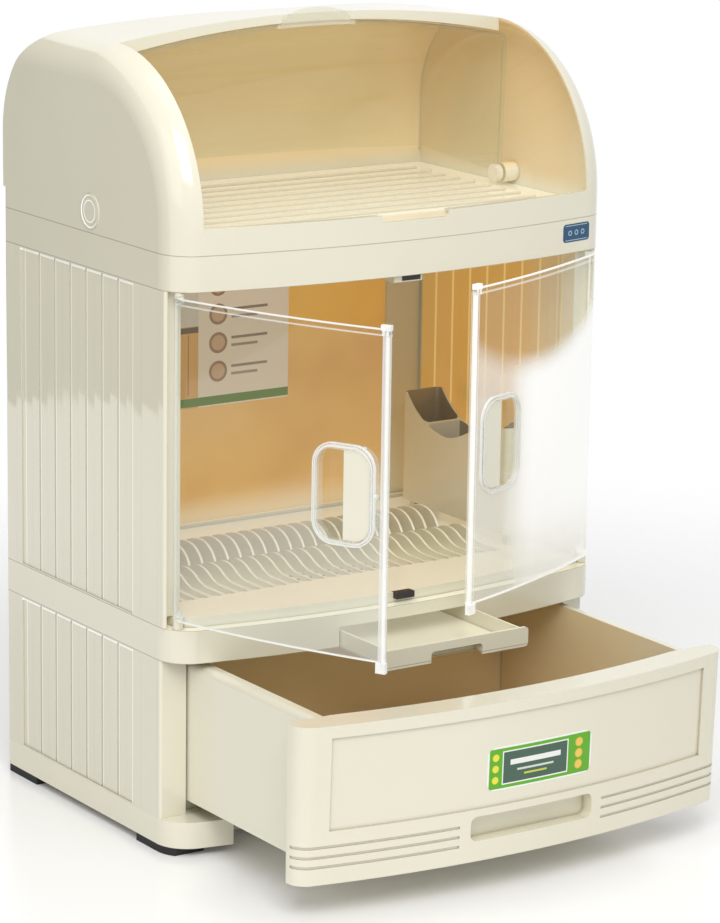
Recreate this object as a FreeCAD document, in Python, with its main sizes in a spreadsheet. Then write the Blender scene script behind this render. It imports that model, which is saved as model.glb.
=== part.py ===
import FreeCAD, Part
import math
import os
import Sketcher

# Covered dish drying box: a drawer at the bottom, a glazed cabinet with two doors above it,
# and a hood with a swinging visor on top. Millimetres, Z up, the front faces -Y.

Vector = FreeCAD.Vector
doc = FreeCAD.newDocument("dish_drying_box")
sheet = doc.addObject("Spreadsheet::Sheet", "Sizes")
sub_parts = []


class Length:
    """A number that remembers the cells of the sheet that it comes from."""

    def __init__(self, value, formula):
        self.value = float(value)
        self.formula = formula

    def __float__(self):
        return self.value

    def __add__(self, other):
        other = length(other)
        return Length(self.value + other.value, f"({self.formula} + {other.formula})")

    def __sub__(self, other):
        other = length(other)
        return Length(self.value - other.value, f"({self.formula} - {other.formula})")

    def __mul__(self, other):
        other = length(other)
        return Length(self.value * other.value, f"({self.formula} * {other.formula})")

    def __truediv__(self, other):
        other = length(other)
        return Length(self.value / other.value, f"({self.formula} / {other.formula})")

    def __neg__(self):
        return length(0) - self

    def __radd__(self, other):
        return length(other) + self

    def __rsub__(self, other):
        return length(other) - self

    def __rmul__(self, other):
        return length(other) * self


def length(value):
    return value if isinstance(value, Length) else Length(value, repr(value))


def root(value):
    return Length(math.sqrt(value.value), f"sqrt({value.formula})")


def leg(long_side, short_side):
    """The other short side of a right triangle."""
    return root(long_side * long_side - short_side * short_side)


def size(name, value):
    """Writes one driving dimension into the sheet."""
    size.row += 1
    sheet.set(f"A{size.row}", name)
    sheet.set(f"B{size.row}", str(value))
    sheet.setAlias(f"B{size.row}", name)
    return Length(value, f"Sizes.{name}")


size.row = 0

# Carcass
width = size("width", 500)
side_depth = size("side_depth", 322)
bow = size("bow", 30)
corner_radius = size("corner_radius", 34)
back_radius = size("back_radius", 6)
wall = size("wall", 3.2)
deck = size("deck", 3)
gap = size("gap", 0.3)
foot_height = size("foot_height", 8)
foot_depth = size("foot_depth", 60)
foot_width = size("foot_width", 40)
foot_inset = size("foot_inset", 0.6)
base_height = size("base_height", 26)
lower_height = size("lower_height", 157.5)
plinth_height = size("plinth_height", 32.5)
sill_height = size("sill_height", 10)
sill_inset = size("sill_inset", 12)
floor_drop = size("floor_drop", 4)
middle_height = size("middle_height", 323.5)
frame_height = size("frame_height", 33.8)
frame_flange = size("frame_flange", 30)
frame_ledge = size("frame_ledge", 12)
front_step_run = size("front_step_run", 22)
front_step_half = size("front_step_half", 165)
front_step_slope = size("front_step_slope", 35)
rib_spacing = size("rib_spacing", 70)
rib_thickness = size("rib_thickness", 2.4)
rib_count = 3
least_radius = size("least_radius", 0.2)

# Side panels
lower_post_setback = size("lower_post_setback", 21.5)
lower_post_width = size("lower_post_width", 29)
middle_edge_setback = size("middle_edge_setback", 15)
middle_post_setback = size("middle_post_setback", 21)
middle_post_width = size("middle_post_width", 21)
post_return = size("post_return", 22)
back_flange = size("back_flange", 12)
lower_back_post = size("lower_back_post", 30)
middle_back_post = size("middle_back_post", 46)
post_edge_radius = size("post_edge_radius", 3)
inset_back = size("inset_back", 34)
inset_setback = size("inset_setback", 73)
inset_margin = size("inset_margin", 1.5)
inset_recess = size("inset_recess", 1.2)
groove_pitch = size("groove_pitch", 30.2)
groove_width = size("groove_width", 3)
groove_recess = size("groove_recess", 0.8)
groove_count = 6

# Drawer
drawer_out = size("drawer_out", 212)
drawer_margin = size("drawer_margin", 5.5)
drawer_corner = size("drawer_corner", 19)
drawer_front_height = size("drawer_front_height", 152)
drawer_front_lift = size("drawer_front_lift", 0.5)
drawer_tilt = size("drawer_tilt", 5)
drawer_skin = size("drawer_skin", 3)
front_rim_depth = size("front_rim_depth", 32)
tub_gap = size("tub_gap", 2)
tub_wall = size("tub_wall", 2.5)
tub_rim = size("tub_rim", 14)
tub_rim_radius = size("tub_rim_radius", 8)
tub_top_gap = size("tub_top_gap", 5.5)
tub_back = size("tub_back", 12)
tub_floor_lift = size("tub_floor_lift", 3)
runner_height = size("runner_height", 13.2)
panel_side = size("panel_side", 30)
panel_low = size("panel_low", 51)
panel_high = size("panel_high", 12)
panel_recess = size("panel_recess", 2.5)
line_pitch = size("line_pitch", 9.5)
line_low = size("line_low", 16)
line_height = size("line_height", 2.6)
line_recess = size("line_recess", 1.2)
line_from = size("line_from", 82)
line_count = 3
grip_half = size("grip_half", 70)
grip_low = size("grip_low", 20)
grip_height = size("grip_height", 24)
grip_depth = size("grip_depth", 20)
grip_radius = size("grip_radius", 7)

# Drip tray
tray_out = size("tray_out", 78)
tray_half = size("tray_half", 77.5)
tray_length = size("tray_length", 180)
tray_wall = size("tray_wall", 2)
tray_front_half = size("tray_front_half", 84)
tray_front_height = size("tray_front_height", 19.5)
tray_front_thickness = size("tray_front_thickness", 2.8)
tray_height = size("tray_height", 17)
tray_front_drop = size("tray_front_drop", 2.5)
tray_lift = size("tray_lift", 1.5)
tray_rail_ledge = size("tray_rail_ledge", 8)
tray_rail_thickness = size("tray_rail_thickness", 2)
notch_half = size("notch_half", 30)
notch_height = size("notch_height", 11)
slot_half = size("slot_half", 79)
slot_height = size("slot_height", 20)
drain_pitch = size("drain_pitch", 14)
drain_half = size("drain_half", 50)
drain_width = size("drain_width", 4)
drain_back = size("drain_back", 182)
drain_count = 5

# Plate rack
fin_pitch = size("fin_pitch", 15)
fin_thickness = size("fin_thickness", 2.6)
rack_margin = size("rack_margin", 24)
fin_count = 27
rack_play = size("rack_play", 1.5)
rack_back = size("rack_back", 95)
rack_front = size("rack_front", 251)
basin_depth = size("basin_depth", 5)
rear_height = size("rear_height", 6)
rear_sweep = size("rear_sweep", 61.6)
crest_back = size("crest_back", 138.5)
crest_height = size("crest_height", 24)
crest_sweep = size("crest_sweep", 30)
valley_back = size("valley_back", 165.5)
valley_height = size("valley_height", 7)
wave_rise = size("wave_rise", 35.5)
wave_back = size("wave_back", 184)
wave_height = size("wave_height", 12.2)
wave_sweep = size("wave_sweep", 36.7)
wave_foot = size("wave_foot", 203.5)
wave_foot_height = size("wave_foot_height", 6.6)
landing_sweep = size("landing_sweep", 47.6)
landing_back = size("landing_back", 227)
landing_height = size("landing_height", 0.4)
rack_bar_width = size("rack_bar_width", 7)
rack_bar_height = size("rack_bar_height", 3)
rack_bar_count = 3

# Cutlery holder
holder_margin = size("holder_margin", 12)
holder_width = size("holder_width", 48)
holder_back = size("holder_back", 60)
holder_length = size("holder_length", 190)
holder_lift = size("holder_lift", 13)
holder_height = size("holder_height", 115)
holder_dip = size("holder_dip", 34)
holder_wall = size("holder_wall", 2.2)
holder_partition = size("holder_partition", 43)
brow_drop = size("brow_drop", 3)
brow_length = size("brow_length", 57)
brow_fall = size("brow_fall", 13)
brow_sweep = size("brow_sweep", 120)
dip_length = size("dip_length", 106)
dip_sweep = size("dip_sweep", 90)
holder_radius = size("holder_radius", 8)
leg_width = size("leg_width", 8)

# Doors
pivot_inset = size("pivot_inset", 12)
pivot_setback = size("pivot_setback", 9)
pin_radius = size("pin_radius", 2.5)
pin_clearance = size("pin_clearance", 0.06)
pin_length = size("pin_length", 6)
lug_radius = size("lug_radius", 4.8)
lug_height = size("lug_height", 6)
block_gap = size("block_gap", 0.6)
block_rise = size("block_rise", 1)
door_inset = size("door_inset", 1.5)
door_thickness = size("door_thickness", 3)
door_lift = size("door_lift", 10.4)
door_top_gap = size("door_top_gap", 4.5)
door_wrap_gap = size("door_wrap_gap", 4.4)
edge_offset = size("edge_offset", 5.5)
edge_radius = size("edge_radius", 4)
edge_inset = size("edge_inset", 4)
block_half = size("block_half", 5)
block_height = size("block_height", 10)
block_thickness = size("block_thickness", 6)
strike_thickness = size("strike_thickness", 1)
strike_half = size("strike_half", 2.6)
strike_height = size("strike_height", 5)
left_open = size("left_open", 61)
right_open = size("right_open", 17)
cup_centre = size("cup_centre", 46)
cup_half = size("cup_half", 31)
cup_half_height = size("cup_half_height", 46)
cup_level = size("cup_level", 379)
cup_radius = size("cup_radius", 20)
cup_depth = size("cup_depth", 13)
cup_wall = size("cup_wall", 2)
cup_rim = size("cup_rim", 3)
cup_proud = size("cup_proud", 1.6)
plate_gap = size("plate_gap", 0.15)
plate_thickness = size("plate_thickness", 2.6)
plate_depth = size("plate_depth", 5)

# Catches
magnet_half = size("magnet_half", 10.5)
magnet_height = size("magnet_height", 6)
magnet_depth = size("magnet_depth", 10)
magnet_clearance = size("magnet_clearance", 0.3)
catch_wall = size("catch_wall", 2.5)
catch_left = size("catch_left", 9)

# Hood
hood_wall = size("hood_wall", 2.5)
pivot_lead = size("pivot_lead", 12)
pivot_rise = size("pivot_rise", 20.7)
crown_radius = size("crown_radius", 1432)
roof_lap = size("roof_lap", 4.7)
back_curve_depth = size("back_curve_depth", 140)
back_curve_radius = size("back_curve_radius", 105)
back_curve_height = size("back_curve_height", 119.7)
rim_width = size("rim_width", 29)
rim_corner = size("rim_corner", 2)
hem_thickness = size("hem_thickness", 2.4)
hem_clearance = size("hem_clearance", 0.5)
lip_height = size("lip_height", 25.7)
lip_notch_half = size("lip_notch_half", 39)
lip_notch_depth = size("lip_notch_depth", 6.4)
boss_radius = size("boss_radius", 10)
cap_radius = size("cap_radius", 17.5)
cap_recess = size("cap_recess", 1)
cap_proud = size("cap_proud", 0.8)
drain_tray_rise = size("drain_tray_rise", 7.7)
drain_tray_floor = size("drain_tray_floor", 3)
drain_rib_pitch = size("drain_rib_pitch", 26)
drain_rib_width = size("drain_rib_width", 9)
drain_rib_height = size("drain_rib_height", 3)
drain_rib_margin = size("drain_rib_margin", 34)
drain_rib_count = 9

# Visor
visor_margin = size("visor_margin", 20)
visor_corner = size("visor_corner", 12)
visor_crown_radius = size("visor_crown_radius", 1110)
visor_back_gap = size("visor_back_gap", 3)
visor_wall = size("visor_wall", 2)
visor_span = size("visor_span", 88)
visor_lean = size("visor_lean", 1.7)
visor_rim = size("visor_rim", 3)
visor_rim_depth = size("visor_rim_depth", 4)
ear_radius = size("ear_radius", 11)
tab_half = size("tab_half", 38.5)
tab_rise = size("tab_rise", 12)
tab_radius = size("tab_radius", 8)
tab_crown = size("tab_crown", 3)
tab_sweep = size("tab_sweep", 90)
visor_trim = 40
shaft_radius = size("shaft_radius", 4)
shaft_clearance = size("shaft_clearance", 0.06)
knob_radius = size("knob_radius", 9)
knob_thickness = size("knob_thickness", 7)

doc.recompute()

# Levels above the ground, and places worked out from the sizes
half = width / 2
back = (side_depth + bow + drawer_out) / 2
bow_radius = (half * half + bow * bow) / (2 * bow)
front = back - side_depth - bow
level_base = foot_height
level_lower = level_base + base_height
level_middle = level_lower + lower_height
level_ledge = level_middle + plinth_height
level_sill = level_ledge + sill_height
level_floor = level_sill - floor_drop
level_frame = level_ledge + middle_height
level_hood = level_frame + frame_height
level_lip = level_hood + lip_height
level_pivot = level_hood + pivot_rise
pivot_back = (side_depth + bow - pivot_lead) / 2
pivot_y = back - pivot_back
visor_radius = pivot_back - visor_back_gap
door_bottom = level_ledge + door_lift
door_top = level_frame - door_top_gap
pivot_x = half - pivot_inset
pivot_depth = side_depth - pivot_setback
door_wrap_depth = pivot_depth - door_wrap_gap
front_step_depth = side_depth - front_step_run
lower_post_depth = side_depth - lower_post_setback
middle_edge_depth = side_depth - middle_edge_setback
middle_post_depth = side_depth - middle_post_setback
inset_front = side_depth - inset_setback
drawer_half = half - drawer_margin
fin_left = half - rack_margin
holder_left = half - holder_margin - holder_width
roof_front = pivot_back + roof_lap
visor_half = half - visor_margin
tray_bottom = level_middle - tray_front_drop + tray_lift
tub_outer = half - lower_post_width - tub_gap
tub_inner = tub_outer - tub_rim
hinge_y = back - pivot_depth


def ahead(distance):
    """The Y of a place that lies this far in front of the back."""
    return back - distance


def bind(item, name, value):
    value = length(value)
    item.setExpression(name, value.formula)


def place(item, x, y, z):
    for axis, value in zip("xyz", (x, y, z)):
        bind(item, f"Placement.Base.{axis}", value)


def cuboid(name, x, y, z):
    """A block between pairs of limits along X, Y and Z."""
    item = doc.addObject("Part::Box", name)
    for property_name, limits in zip(("Length", "Width", "Height"), (x, y, z)):
        bind(item, property_name, length(limits[1]) - limits[0])
    place(item, x[0], y[0], z[0])
    return item


def cylinder(name, radius, x, y, z, height, along="z"):
    """A cylinder that starts at a point and runs up, or towards +X."""
    item = doc.addObject("Part::Cylinder", name)
    bind(item, "Radius", radius)
    bind(item, "Height", height)
    if along == "x":
        item.Placement = FreeCAD.Placement(Vector(), FreeCAD.Rotation(Vector(0, 1, 0), 90))
    place(item, x, y, z)
    return item


def joined(name, kind, pieces):
    item = doc.addObject(kind, name)
    item.Shapes = pieces
    return item


def fuse(name, *pieces):
    return joined(name, "Part::MultiFuse", list(pieces))


def common(name, *pieces):
    return joined(name, "Part::MultiCommon", list(pieces))


def cut(name, base, *tools):
    item = doc.addObject("Part::Cut", name)
    item.Base = base
    item.Tool = tools[0] if len(tools) == 1 else fuse(name + "_tools", *tools)
    return item


def sub_part(name, item):
    item.Label = name
    sub_parts.append(item)
    return item


def side_pair(side, near, far):
    """Limits along X on the left (-1) or right (1) side."""
    return (near, far) if side > 0 else (-length(far), -length(near))


def origin_plane(body, role):
    for feature in body.Origin.OriginFeatures:
        if feature.Role == role:
            return feature


def dimension(name, kind, places, value):
    """A rule that holds one coordinate or radius of a sketch to its formula."""
    value = length(value)
    if kind != "Radius" and abs(value.value) < 1e-9:
        return Sketcher.Constraint("PointOnObject", *places, -2 if kind == "DistanceX" else -1), ""
    if kind == "Radius":
        rule = Sketcher.Constraint(kind, *places, value.value)
    elif value.value > 0:
        rule = Sketcher.Constraint(kind, -1, 1, *places, value.value)
    else:
        value = -value
        rule = Sketcher.Constraint(kind, *places, -1, 1, value.value)
    rule.Name = name
    return rule, value.formula


def arc_between(start, end, radius):
    """The short arc from start to end: a positive radius turns left."""
    chord = end - start
    middle = (start + end) / 2
    inward = Vector(-chord.y, chord.x, 0).normalize()
    rise = math.sqrt(max(radius * radius - chord.Length ** 2 / 4, 0))
    centre = middle + inward * math.copysign(rise, radius)
    circle = Part.Circle(centre, Vector(0, 0, 1), abs(radius))
    first = math.atan2(start.y - centre.y, start.x - centre.x)
    last = math.atan2(end.y - centre.y, end.x - centre.x)
    if radius > 0:
        return Part.ArcOfCircle(circle, first, last)
    return Part.ArcOfCircle(circle, last, first)


def drawn(body, name, role, offset, path):
    """A closed sketch. Each corner is (x, y), with the radius of the arc that leaves it, if any."""
    sketch = body.newObject("Sketcher::SketchObject", name)
    sketch.AttachmentSupport = (origin_plane(body, role), [""])
    sketch.MapMode = "FlatFace"
    for axis, value in zip("xyz", offset):
        if length(value).value:
            bind(sketch, f"AttachmentOffset.Base.{axis}", value)
    corners = [Vector(float(corner[0]), float(corner[1]), 0) for corner in path]
    for number, corner in enumerate(path):
        start = corners[number]
        end = corners[(number + 1) % len(path)]
        if len(corner) == 3:
            sketch.addGeometry(arc_between(start, end, float(corner[2])), False)
        else:
            sketch.addGeometry(Part.LineSegment(start, end), False)
    rules = []
    for number, corner in enumerate(path):
        turned = len(corner) == 3 and float(corner[2]) < 0
        before = (number - 1) % len(path)
        before_turned = len(path[before]) == 3 and float(path[before][2]) < 0
        here = (number, 2 if turned else 1)
        there = (before, 1 if before_turned else 2)
        rules.append((Sketcher.Constraint("Coincident", *here, *there), ""))
        rules.append(dimension(f"across_{number}", "DistanceX", here, corner[0]))
        rules.append(dimension(f"along_{number}", "DistanceY", here, corner[1]))
        if len(corner) == 3:
            radius = -length(corner[2]) if turned else length(corner[2])
            rules.append(dimension(f"radius_{number}", "Radius", (number,), radius))
    sketch.addConstraint([rule for rule, _ in rules])
    for rule, formula in rules:
        if formula:
            sketch.setExpression(f"Constraints.{rule.Name}", formula)
    return sketch


def prism(name, role, path, low, high):
    """A body padded from a sketch, from one level to another along its plane's normal."""
    body = doc.addObject("PartDesign::Body", name)
    sketch = drawn(body, name + "_sketch", role, (0, 0, low), path)
    pad = body.newObject("PartDesign::Pad", name + "_pad")
    pad.Profile = sketch
    bind(pad, "Length", length(high) - low)
    return body


def turned_solid(name, path, y, z, angle, both_ways, backwards=False):
    """A section in an upright plane, turned about its own X axis through (y, z)."""
    body = doc.addObject("PartDesign::Body", name)
    sketch = drawn(body, name + "_sketch", "XZ_Plane", (0, z, -length(y)), path)
    feature = body.newObject("PartDesign::Revolution", name + "_turn")
    feature.Profile = sketch
    feature.ReferenceAxis = (sketch, ["H_Axis"])
    bind(feature, "Angle", angle)
    feature.Midplane = both_ways
    feature.Reversed = backwards
    return body


def bowed(half_width, corner, radius, crown):
    """Where the flank ends and where the corner meets the bow, measured towards the bow."""
    spine = leg(radius - corner, half_width - corner)
    flank = crown - radius + spine
    reach = radius / (radius - corner)
    return flank, (half_width - corner) * reach, crown - radius + spine * reach


def plan_path(inset, half_width=half, corner=corner_radius, rear=0, rear_radius=back_radius, tilt=0):
    """The outline seen from above, drawn in by an inset: bowed front, round corners."""
    side = half_width - inset
    turn = corner - inset
    sweep = bow_radius - inset
    crown = side_depth + bow - inset - tilt
    if turn.value > 0:
        flank, join_x, join_depth = bowed(side, turn, sweep, crown)
        lines = [
            (-side, ahead(flank), turn),
            (-join_x, ahead(join_depth), sweep),
            (join_x, ahead(join_depth), turn),
            (side, ahead(flank)),
        ]
    else:
        flank = crown - sweep + leg(sweep, side)
        lines = [(-side, ahead(flank), sweep), (side, ahead(flank))]
    behind = ahead(length(rear) + inset)
    rear_turn = length(rear_radius) - inset
    if rear_turn.value > least_radius.value:
        lines += [
            (side, behind - rear_turn, rear_turn),
            (side - rear_turn, behind),
            (rear_turn - side, behind, rear_turn),
            (-side, behind - rear_turn),
        ]
    else:
        lines += [(side, behind), (-side, behind)]
    return lines


def slab(name, inset, low, high):
    return prism(name, "XY_Plane", plan_path(inset), low, high)


def rounded_path(x, y, radius):
    """A rectangle with round corners."""
    return [
        (x[0] + radius, y[0]),
        (x[1] - radius, y[0], radius),
        (x[1], y[0] + radius),
        (x[1], y[1] - radius, radius),
        (x[1] - radius, y[1]),
        (x[0] + radius, y[1], radius),
        (x[0], y[1] - radius),
        (x[0], y[0] + radius, radius),
    ]


def both(value):
    return (-length(value), length(value))


def base_plate():
    level_top = level_lower - deck
    slope = [
        (-front_step_half, ahead(front_step_depth)),
        (-front_step_half - front_step_slope, front - gap),
        (front_step_half + front_step_slope, front - gap),
        (front_step_half, ahead(front_step_depth)),
    ]
    inner_slope = [
        (-front_step_half - wall, ahead(front_step_depth - wall)),
        (-front_step_half - front_step_slope - wall * 2, front - gap),
        (front_step_half + front_step_slope + wall * 2, front - gap),
        (front_step_half + wall, ahead(front_step_depth - wall)),
    ]
    step = prism("base_step", "XY_Plane", slope, 0, level_lower + gap)
    inner_step = prism("base_inner_step", "XY_Plane", inner_slope, 0, level_lower)
    cavity = cut("base_cavity", slab("base_hollow", wall, 0, level_top), inner_step)
    shell = cut("base_shell", slab("base_solid", 0, level_base, level_lower), step, cavity)
    pieces = [shell]
    across = (-half + wall, half - wall)
    for number in range(rib_count):
        distance = rib_spacing * (number + 1)
        pieces.append(cuboid(f"base_rib_{number}", across,
                             (ahead(distance + rib_thickness), ahead(distance)),
                             (level_base + deck, level_top)))
    for side in (-1, 1):
        runner_x = side_pair(side, tub_inner - deck, tub_outer)
        pieces.append(cuboid("base_runner", runner_x, (ahead(lower_post_depth - tub_back), ahead(tub_back)),
                             (level_lower - deck / 2, level_lower + runner_height)))
    sub_part("base_plate", fuse("base_plate_body", *pieces))


def feet():
    rows = {"back": (0, foot_depth),
            "front": (side_depth - foot_depth - back_radius, side_depth - back_radius)}
    for side, side_name in ((-1, "left"), (1, "right")):
        for row_name, (near, far) in rows.items():
            name = f"foot_{row_name}_{side_name}"
            pad = slab(name + "_pad", foot_inset, 0, level_base)
            block = cuboid(name + "_block", side_pair(side, half - foot_width, half),
                           (ahead(far), ahead(near)),
                           (0, level_base))
            sub_part(name, common(name + "_body", pad, block))


def side_panel(name, side, low, high, edge_depth, post_depth, post_width, back_post, post_low):
    """A panel with a folded front post, a grooved inset and a slot for the back sheet."""
    skin_x = side_pair(side, half - wall, half)
    outer = cuboid(name + "_skin", skin_x, (ahead(edge_depth), back), (low, high))
    post = cuboid(name + "_post", side_pair(side, half - post_width, half - wall / 2),
                  (ahead(post_depth), ahead(post_depth - wall)), (post_low, high))
    inner = cuboid(name + "_return", side_pair(side, half - post_width, half - post_width + wall),
                   (ahead(post_depth - wall / 2), ahead(post_depth - post_return)), (post_low, high))
    rear = cuboid(name + "_rear", side_pair(side, half - back_flange, half - wall / 2),
                  (ahead(wall), back), (low, high))
    lip = cuboid(name + "_lip", side_pair(side, half - back_post, half - wall / 2),
                 (ahead(wall * 3), ahead(wall * 2)), (low, high))
    solid = fuse(name + "_solid", outer, post, inner, rear, lip)
    round_x = (half - post_edge_radius) * side
    tools = []
    recess_x = side_pair(side, half - inset_recess, half + gap)
    tools.append(cuboid(name + "_recess", recess_x, (ahead(inset_front), ahead(inset_back)),
                        (low + inset_margin, high - inset_margin)))
    groove_x = side_pair(side, half - inset_recess - groove_recess, half + gap)
    for number in range(groove_count):
        distance = inset_front - groove_pitch * (number + 1) + groove_width
        tools.append(cuboid(f"{name}_groove_{number}", groove_x,
                            (ahead(distance), ahead(distance - groove_width)),
                            (low + inset_margin, high - inset_margin)))
    body = cut(name + "_grooved", solid, *tools)
    corner = cut(name + "_corner",
                 cuboid(name + "_corner_block", side_pair(side, half - back_radius, half + gap),
                        (ahead(back_radius), back + gap), (low, high)),
                 cylinder(name + "_corner_round", back_radius, (half - back_radius) * side,
                          ahead(back_radius),
                          low, high - low))
    front_corner = cut(name + "_edge",
                       cuboid(name + "_edge_block", side_pair(side, half - post_edge_radius, half + gap),
                              (ahead(edge_depth) - gap, ahead(edge_depth - post_edge_radius)), (low, high)),
                       cylinder(name + "_edge_round", post_edge_radius, round_x,
                                ahead(edge_depth - post_edge_radius), low, high - low))
    sub_part(name, cut(name + "_body", body, corner, front_corner))


def back_sheet(name, low, high):
    sheet_x = both(half - wall - gap)
    sub_part(name, cuboid(name + "_body", sheet_x, (ahead(wall * 2), ahead(wall)), (low, high)))


def middle_base():
    level_deck = level_ledge - deck
    solid = slab("middle_base_solid", 0, level_middle, level_ledge)
    hollow = slab("middle_base_hollow", wall, level_middle - gap, level_deck)
    riser = cut("middle_base_riser", slab("middle_base_riser_solid", sill_inset, level_deck, level_sill),
                slab("middle_base_riser_hollow", sill_inset + wall, level_floor, level_sill + gap))
    slot = cuboid("tray_slot", both(slot_half), (front - gap, ahead(side_depth - sill_inset)),
                  (level_middle - gap, level_middle + slot_height))
    basin_x = (-fin_left - rack_play, fin_pitch * fin_count + fin_thickness + rack_play - fin_left)
    basin_y = (ahead(rack_front + rack_play / 3), ahead(rack_back - rack_play))
    basin_low = level_floor - basin_depth
    basin = cuboid("basin", basin_x, basin_y, (basin_low, level_floor + gap))
    basin_shell = cuboid("basin_shell", (basin_x[0] - deck, basin_x[1] + deck),
                         (basin_y[0] - deck, basin_y[1] + deck), (basin_low - deck, level_floor - deck / 2))
    drains = []
    for number in range(drain_count):
        distance = drain_back + drain_pitch * number
        drains.append(cuboid(f"drain_slot_{number}", both(drain_half),
                             (ahead(distance + drain_width), ahead(distance)),
                             (basin_low - deck - gap, level_floor + gap)))
    under = slab("middle_base_under", sill_inset + wall, level_middle - gap, level_floor - deck)
    shell = cut("middle_base_shell", fuse("middle_base_outer", cut("middle_base_skirt", solid, hollow,
                                                                   slot), riser),
                under)
    magnet_seat = cuboid("lower_magnet_seat", both(magnet_half + magnet_clearance / 2),
                         (front + edge_inset, ahead(side_depth + bow - block_thickness - magnet_depth)),
                         (level_sill - magnet_height - magnet_clearance, level_sill + gap))
    pieces = [cut("middle_base_notched", shell, magnet_seat), basin_shell]
    rail_y = (ahead(side_depth), ahead(side_depth - tray_length))
    ledge_top = tray_bottom - gap
    for side in (-1, 1):
        inner_x = tray_half + gap
        pieces.append(cuboid("tray_rail_web", side_pair(side, inner_x, inner_x + tray_rail_thickness),
                             rail_y,
                             (ledge_top - tray_rail_thickness, level_floor - deck / 2)))
        pieces.append(cuboid("tray_rail_ledge",
                             side_pair(side, inner_x - tray_rail_ledge, inner_x + tray_rail_thickness),
                             rail_y, (ledge_top - tray_rail_thickness, ledge_top)))
        pieces.append(cylinder("hinge_stand", lug_radius, pivot_x * side, hinge_y, level_ledge - deck / 2,
                               door_lift + deck / 2 - gap))
    bores = [cylinder("hinge_stand_bore", pin_radius + pin_clearance, pivot_x * side, hinge_y,
                      door_bottom - pin_length - gap, pin_length + gap) for side in (-1, 1)]
    sub_part("middle_base", cut("middle_base_body", fuse("middle_base_with_rails", *pieces),
                                basin, *drains, *bores))


def drip_tray():
    front_face = front - gap - tray_out
    outer = cuboid("tray_outer", both(tray_half), (front_face, front_face + tray_length),
                   (tray_bottom, tray_bottom + tray_height))
    inner = cuboid("tray_inner", both(tray_half - tray_wall),
                   (front_face + tray_wall, front_face + tray_length - tray_wall),
                   (tray_bottom + tray_wall, tray_bottom + tray_height + gap))
    level_face = level_middle - tray_front_drop
    plate_x = both(tray_front_half)
    plate = prism("tray_plate", "XZ_Plane",
                  rounded_path(plate_x, (level_face, level_face + tray_front_height),
                                                         tray_wall * 2), -front_face,
                                                         tray_front_thickness - front_face)
    notch = prism("tray_notch", "XZ_Plane",
                  rounded_path(both(notch_half), (level_face - notch_height, level_face + notch_height),
                               tray_wall * 2), -front_face - tray_wall * 2,
                               tray_front_thickness - front_face + gap)
    scoop = cuboid("tray_scoop", both(notch_half + tray_wall), (front_face, front_face + tray_wall * 6),
                   (tray_bottom, level_face + notch_height + tray_wall))
    solid = fuse("tray_solid", cut("tray_shell", outer, inner), plate, scoop)
    grip = cuboid("tray_grip", both(notch_half), (front_face - gap, front_face + tray_wall * 5),
                  (level_face - gap, level_face + notch_height - tray_wall))
    sub_part("drip_tray", cut("drip_tray_body", solid, notch, grip))


def drawer_block(name, inset, low, high, rear):
    """A bowed block whose front leans back towards its foot."""
    body = doc.addObject("PartDesign::Body", name)
    foot = level_lower + drawer_front_lift
    sketches = []
    for label, level in (("low", low), ("high", high)):
        tilt = drawer_tilt * (drawer_front_height - (level - foot)) / drawer_front_height
        path = plan_path(inset, drawer_half, drawer_corner, length(rear) - inset, 0, tilt)
        shifted = [(corner[0], corner[1] - drawer_out, *corner[2:]) for corner in path]
        sketches.append(drawn(body, f"{name}_{label}", "XY_Plane", (0, 0, level), shifted))
    loft = body.newObject("PartDesign::AdditiveLoft", name + "_loft")
    loft.Profile = sketches[0]
    loft.Sections = [sketches[1]]
    loft.Ruled = True
    return body


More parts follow.
